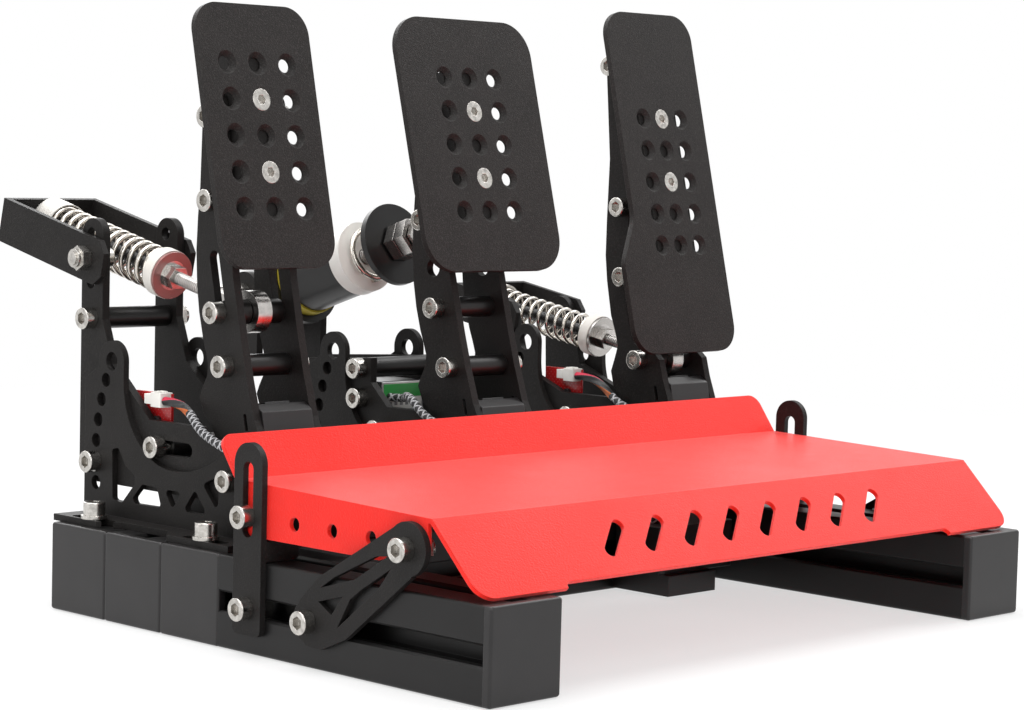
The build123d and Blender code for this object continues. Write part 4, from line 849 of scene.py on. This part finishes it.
@dataclass
class Assembly:
    """A group of added pieces that ride on one body."""

    stock: Stock
    body: str = "frame"

    def keep(self, piece: "bpy.types.Object", slot: Slot, *nodes: str) -> "bpy.types.Object":
        """Attach a piece to its body and hide the nodes that it stands for.

        Args:
            piece: The piece.
            slot: The record's slot; not used.
            nodes: Nodes that it stands for.

        Returns:
            The piece.
        """
        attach(piece, self.body)
        if nodes:
            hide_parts(*nodes)
        log.info("made %s on %s", piece.name, self.body)
        return piece

    def make(self) -> None:
        """Build the group's pieces."""
        raise NotImplementedError


@dataclass
class Lead(Assembly):
    """One sleeved lead, from its sensor to the controller box."""

    module: str = "clutch"
    bare_length: float = 34 * MM

    def route(self) -> list[Vector]:
        """Lay out the lead.

        Returns:
            Its points in the row frame.
        """
        start = BRAKE_LEAD_START if self.module == "brake" else SENSOR_LEAD_START
        middle = MODULE_X[self.module] / MM
        near = [(middle + x, y, z) for x, y, z in start + LEAD_SHOULDER]
        return [layout(*spot) for spot in near + LEAD_ENDS[self.module]]

    def make(self) -> None:
        points = self.route()
        curve = bpy.data.curves.new(f"lead_{self.module}", "CURVE")
        curve.dimensions = "3D"
        curve.bevel_depth = LEAD_DIAMETER / 2
        curve.bevel_resolution = 6
        curve.resolution_u = 16
        curve.use_fill_caps = True
        spline = curve.splines.new("NURBS")
        spline.points.add(len(points) - 1)
        for target, spot in zip(spline.points, points):
            target.co = (*spot, 1.0)
        spline.order_u = 3
        spline.use_endpoint_u = True
        length = spline.calc_length()
        bare = 0.0 if self.module == "brake" else self.bare_length
        surface = SleeveSurface(f"m_lead_{self.module}", Slot.sleeve.value, length, bare)
        curve.materials.append(surface.build())
        piece = bpy.data.objects.new(curve.name, curve)
        bpy.context.scene.collection.objects.link(piece)
        self.keep(piece, Slot.sleeve, "sensor_leads")


@dataclass
class SensorBoard(Assembly):
    """Circuit board on its posts, with its connector and parts.

    Fields that end in x, and all sizes, are in metres, with x measured off the board's back. Fields
    that end in y, z, places or level are in layout millimetres.
    """

    module: str = "clutch"
    inner_half: float = 19.5 * MM
    standoff: float = 2 * MM
    thickness: float = 1.6 * MM
    board_y: Span = (236.0, 262.0)
    board_z: Span = (84.0, 101.0)
    post_places: Span = (245.0, 258.0)
    post_level: float = 88.0
    post_radius: float = 2.5 * MM
    pin_radius: float = 1.5 * MM
    pin_tip_radius: float = 0.2 * MM
    pin_rise: float = 1.2 * MM
    socket_x: Span = (-6 * MM, 1 * MM)
    socket_y: Span = (236.2, 243.4)
    socket_z: Span = (95.0, 101.6)
    plug_x: Span = (-5.2 * MM, 0.4 * MM)
    plug_y: Span = (243.4, 249.0)
    plug_z: Span = (96.0, 100.6)
    rib_count: int = 3
    rib_pitch: float = 1.9 * MM
    rib_y: float = 238.0
    rib_level: float = 101.5
    rib_size: Point = (1.1 * MM, 4.5 * MM, 0.7 * MM)
    chip_rise: float = 1.3 * MM
    chip_y: Span = (250.5, 256.5)
    chip_z: Span = (91.0, 97.0)
    part_places: Span = (246.0, 248.5)
    part_level: float = 88.5
    part_size: Point = (0.8 * MM, 1.2 * MM, 2.2 * MM)

    def spot(self, x: float, y: float, z: float) -> Vector:
        """Turn a place given off the board's back into the row frame.

        Args:
            x: Reach off the board's back in metres.
            y: Reach behind the base's front in layout millimetres.
            z: Reach above the floor in layout millimetres.

        Returns:
            The place in metres.
        """
        back = MODULE_X[self.module] - self.inner_half + self.standoff
        return layout(0, y, z) + Vector((back + x, 0, 0))

    def add(self, solid: Solid, x: Span, y: Span, z: Span) -> None:
        """Add a block to a solid.

        Args:
            solid: The solid.
            x: The block's span off the board's back in metres.
            y: Its span behind the base's front in layout millimetres.
            z: Its span above the floor in layout millimetres.
        """
        solid.block(self.spot(x[0], y[0], z[0]), self.spot(x[1], y[1], z[1]))

    def make(self) -> None:
        """Build the board and what stands on it."""
        self._board()
        self._posts()
        self._plug()
        self._parts()

    def _board(self) -> None:
        """Build the lacquered board."""
        board = Solid(f"board_{self.module}")
        self.add(board, (0, self.thickness), self.board_y, self.board_z)
        lacquer = BoardSurface(f"m_board_{self.module}", Slot.circuit_board.value).build()
        self.keep(board.finish(lacquer), Slot.circuit_board, "sensor_boards")

    def _posts(self) -> None:
        """Turn the two posts that carry the board, each with its pin."""
        run = self.standoff + self.thickness + self.pin_rise
        profile = [
            (0, self.post_radius), (self.standoff, self.post_radius), (self.standoff, self.pin_radius),
            (run, self.pin_radius), (run, self.pin_tip_radius),
        ]
        posts = Solid(f"board_posts_{self.module}")
        for y in self.post_places:
            posts.turned(self.spot(-self.standoff, y, self.post_level), Vector((1, 0, 0)), profile)
        self.keep(posts.finish(self.stock.of(Slot.black_plastic)), Slot.black_plastic)

    def _plug(self) -> None:
        """Build the connector: its socket with ribs on top, and its plug."""
        plug = Solid(f"board_plug_{self.module}")
        self.add(plug, self.socket_x, self.socket_y, self.socket_z)
        self.add(plug, self.plug_x, self.plug_y, self.plug_z)
        for step in range(self.rib_count):
            low = self.spot(self.plug_x[0] + self.rib_pitch * step, self.rib_y, self.rib_level)
            plug.block(low, low + Vector(self.rib_size))
        self.keep(plug.finish(self.stock.of(Slot.nylon)), Slot.nylon)

    def _parts(self) -> None:
        """Build the chip and the small parts beside it."""
        chip = Solid(f"board_chip_{self.module}")
        self.add(chip, (self.thickness, self.thickness + self.chip_rise), self.chip_y, self.chip_z)
        for y in self.part_places:
            low = self.spot(self.thickness, y, self.part_level)
            chip.block(low, low + Vector(self.part_size))
        self.keep(chip.finish(self.stock.of(Slot.black_plastic)), Slot.black_plastic)


@dataclass
class SpringCoil(Assembly):
    """Compression spring on a push rod, with close end turns."""

    module: str = "clutch"
    start: float = 63.15 * MM
    length: float = 89.1 * MM
    turns: float = 15.0
    diameter: float = 21 * MM
    wire: float = 2.5 * MM
    far_end_stands: bool = True
    close_gap: float = 0.7 * MM
    steps_per_turn: int = 32
    sides: int = 14

    def spot(self, turn: float) -> tuple[Vector, Vector]:
        """Find the wire after some turns.

        Args:
            turn: Turns from the start.

        Returns:
            The wire's middle and its direction, with the spring along Z.
        """
        end_pitch = self.wire + self.close_gap
        pitch = (self.length - self.wire - 2 * end_pitch) / (self.turns - 2)
        last = self.turns - 1
        first_rise = min(turn, 1.0) * end_pitch
        open_rise = max(0.0, min(turn, last) - 1) * pitch
        rise = first_rise + open_rise + max(0.0, turn - last) * end_pitch
        radius = (self.diameter - self.wire) / 2
        angle = 2 * math.pi * turn
        middle = Vector((radius * math.cos(angle), radius * math.sin(angle), self.wire / 2 + rise))
        slope = end_pitch if turn < 1 or turn > last else pitch
        sweep = 2 * math.pi * radius
        heading = Vector((-sweep * math.sin(angle), sweep * math.cos(angle), slope))
        return middle, heading.normalized()

    def ring(self, turn: float) -> list[Vector]:
        """Lay points round the wire after some turns.

        Args:
            turn: Turns from the start.

        Returns:
            The points, with the spring along Z.
        """
        middle, heading = self.spot(turn)
        out = Vector((middle.x, middle.y, 0.0)).normalized()
        side = heading.cross(out)
        angles = [2 * math.pi * index / self.sides for index in range(self.sides)]
        return [middle + (out * math.cos(a) + side * math.sin(a)) * (self.wire / 2) for a in angles]

    def make(self) -> None:
        """Wind the spring and put it on its body in place of the CAD spring."""
        joint = f"{self.module}_rod_slide"
        axis = joint_axis(joint)
        near = rod_eye(self.module) + axis * self.start
        matrix = line_frame(near, axis)
        count = round(self.turns * self.steps_per_turn)
        places = [index * self.turns / count for index in range(count + 1)]
        rings = [[matrix @ spot for spot in self.ring(turn)] for turn in places]
        piece = Solid(f"spring_{self.module}").skin(rings).finish(self.stock.of(Slot.spring_steel))
        self.keep(piece, Slot.spring_steel, f"{self.module}_spring")
        travel = joint_entry(joint)["range_m"][1]
        1 - travel / self.length
        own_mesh(piece)


@dataclass
class CellLabel(Assembly):
    """Plain sticker on the load cell's front."""

    edge: float = 1.2 * MM
    thickness: float = 0.15 * MM
    corner: float = 0.0001

    def make(self) -> None:
        """Build the sticker."""
        low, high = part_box("load_cell")
        near = Vector((low.x + self.edge, low.y - self.thickness, low.z + self.edge))
        far = Vector((high.x - self.edge, low.y + self.thickness, high.z - self.edge))
        paper = Finish((0.75, 0.75, 0.72), 0.0, 0.4, grain_height=SMOOTH, edge_radius=self.corner)
        surface = LabelSurface("m_cell_label", paper, near, far)
        label = Solid("cell_label").block(near, far, self.corner)
        self.keep(label.finish(surface.build()), Slot.cell)


class Dressing:
    """Gives every CAD node its material."""

    steel: Colour = (0.45, 0.43, 0.41)
    past_the_rod = 1.0
    rod_radius = {"clutch": 3 * MM, "brake": 4 * MM, "throttle": 3 * MM}
    rod_fits = {
        "clutch": RodFit(59.8 * MM, (0.34, 0.155, 0.145), 62.0 * MM, washer_coating=0.7),
        "brake": RodFit(past_the_rod, steel, past_the_rod),
        "throttle": RodFit(46.2 * MM, steel, 48.5 * MM),
    }

    def __init__(self, stock: Stock) -> None:
        """Keep the materials.

        Args:
            stock: Where materials come from.
        """
        self.stock = stock

    def _rod(self, name: str) -> "bpy.types.Material":
        """Make the threaded material of one push rod.

        Args:
            name: The module's name.

        Returns:
            The material.
        """
        axis, radius, fit = joint_axis(f"{name}_rod_slide"), self.rod_radius[name], self.rod_fits[name]
        finish = Slot.bright_steel.value
        return RodSurface(f"m_rod_{name}", finish, rod_eye(name), axis, radius, fit).build()

    def dress(self) -> None:
        """Assign the materials."""
        slots = {entry["node"]: entry["material_slot"] for entry in frame["record"]["subparts"]}
        rods = {f"{name}_push_rod": name for name in MODULES}
        for node, piece in frame["nodes"].items():
            material = self._rod(rods[node]) if node in rods else self.stock.of(Slot[slots[node]])
            piece.data.materials.clear()
            piece.data.materials.append(material)
            log.info("dressed %s with %s", node, material.name)


@dataclass(frozen=True)
class Lamp:
    """One soft studio lamp aimed at the object."""

    name: str
    place: Point
    size: Span
    power: float
    target: Point = (0.0, 0.0, 0.10)

    def light(self) -> None:
        """Put the lamp in the scene."""
        data = bpy.data.lights.new(self.name, "AREA")
        data.shape = "RECTANGLE"
        data.size, data.size_y = self.size
        data.energy = self.power
        lamp = bpy.data.objects.new(self.name, data)
        lamp.location = self.place
        lamp.rotation_euler = (Vector(self.target) - Vector(self.place)).to_track_quat("-Z", "Y").to_euler()
        bpy.context.scene.collection.objects.link(lamp)


@dataclass(frozen=True)
class Studio:
    """Pale floor, white surroundings, soft lamps and the camera."""

    camera_place: Point = (-0.89984, FRONT_Y - 0.71270, 0.21483)
    yaw: float = math.degrees(0.7962994)
    pitch: float = math.degrees(0.0766315)
    roll: float = math.degrees(0.0259380)
    focal_pixels: float = 2675.04
    sensor_width: float = 36.0
    clip_start: float = 0.05
    floor_half: float = 6.0
    floor_z: float = -0.0004
    floor_colour: Colour = (0.90, 0.90, 0.90)
    floor_glow: float = 0.62
    floor_fade: Span = (0.45, 1.1)
    world_light: float = 0.34
    lamps: tuple[Lamp, ...] = (
        Lamp("lamp_top", (-0.25, 0.10, 1.30), (1.3, 1.0), 17.0),
        Lamp("lamp_front", (-0.75, -1.45, 0.85), (1.2, 0.9), 9.0),
        Lamp("lamp_left", (-1.45, 0.35, 0.55), (0.8, 1.0), 4.0),
        Lamp("lamp_right", (1.05, -0.15, 1.15), (0.9, 0.9), 9.0),
        Lamp("lamp_back", (0.45, 1.45, 0.80), (1.2, 0.8), 9.0),
    )

    def _camera(self) -> None:
        """Put the camera where the photograph was taken from."""
        yaw, pitch, roll = (math.radians(angle) for angle in (self.yaw, self.pitch, self.roll))
        ahead = Vector((math.sin(yaw) * math.cos(pitch), math.cos(yaw) * math.cos(pitch), -math.sin(pitch)))
        level = Vector((math.cos(yaw), -math.sin(yaw), 0.0))
        upright = level.cross(ahead)
        right = level * math.cos(roll) + upright * math.sin(roll)
        up = upright * math.cos(roll) - level * math.sin(roll)
        turn = Matrix((right, up, -ahead)).transposed().to_4x4()
        data = bpy.data.cameras.new("camera")
        data.sensor_width = self.sensor_width
        data.sensor_fit = "HORIZONTAL"
        data.lens = self.focal_pixels / IMAGE_WIDTH * self.sensor_width
        data.clip_start = self.clip_start
        camera = bpy.data.objects.new("camera", data)
        camera.matrix_world = Matrix.Translation(Vector(self.camera_place)) @ turn
        bpy.context.scene.collection.objects.link(camera)
        bpy.context.scene.camera = camera

    def _floor(self) -> None:
        """Lay the pale floor that keeps the object's shadow and fades into white."""
        nodes = NodeTree(bpy.data.materials.new("m_floor"))
        plain = nodes.node("BsdfDiffuse", 0, {"Color": (*self.floor_colour, 1.0)})
        glow = nodes.node("Emission", 0, {"Color": (1.0, 1.0, 1.0, 1.0), "Strength": 1.0})
        reach = nodes.node("VectorMath", "Value", {0: nodes.place()}, operation="LENGTH")
        share = reach.fade(*self.floor_fade) * (1.0 - self.floor_glow) + self.floor_glow
        nodes.end(nodes.node("MixShader", 0, {0: nodes.seen() * share, 1: plain, 2: glow}))
        half = self.floor_half
        floor = bmesh.new()
        places = ((-half, -half), (half, -half), (half, half), (-half, half))
        floor.faces.new([floor.verts.new((x, y, self.floor_z)) for x, y in places])
        data = bpy.data.meshes.new("floor")
        floor.to_mesh(data)
        floor.free()
        data.materials.append(nodes.owner)
        piece = bpy.data.objects.new("floor", data)
        bpy.context.scene.collection.objects.link(piece)

    def _world(self) -> None:
        """Surround the object with white that lights it softly."""
        nodes = NodeTree(bpy.data.worlds.new("world"))
        strength = nodes.seen() * (1.0 - self.world_light) + self.world_light
        white = {"Color": (1.0, 1.0, 1.0, 1.0), "Strength": strength}
        nodes.end(nodes.node("Background", 0, white), "OutputWorld")
        bpy.context.scene.world = nodes.owner

    def build(self) -> None:
        """Set up the whole studio."""
        bpy.context.scene.view_settings.view_transform = "Standard"
        self._camera()
        self._floor()
        self._world()
        for lamp in self.lamps:
            lamp.light()


def main() -> None:
    """Build the studio, dress the frame and add the pieces."""
    logging.basicConfig(level=logging.INFO, format="%(message)s")
    Studio().build()
    stock = Stock()
    assemblies: list[Assembly] = [Lead(stock, module=name) for name in MODULES]
    assemblies += [SensorBoard(stock, module=name) for name in ("clutch", "throttle")]
    assemblies.append(CellLabel(stock))
    assemblies.append(SpringCoil(stock, "clutch_spring_seat"))
    assemblies.append(SpringCoil(
        stock, "throttle_spring_seat", module="throttle", start=49.55 * MM, length=76.7 * MM, turns=13.0,
        diameter=18.6 * MM, wire=2 * MM,
    ))
    assemblies.append(SpringCoil(
        stock, "brake_rod", module="brake", start=46.0 * MM, length=19.7 * MM, turns=2.75,
        diameter=28 * MM, wire=3.2 * MM, far_end_stands=False,
    ))
    for assembly in assemblies:
        assembly.make()
    Dressing(stock).dress()


if __name__ == "__main__":
    main()
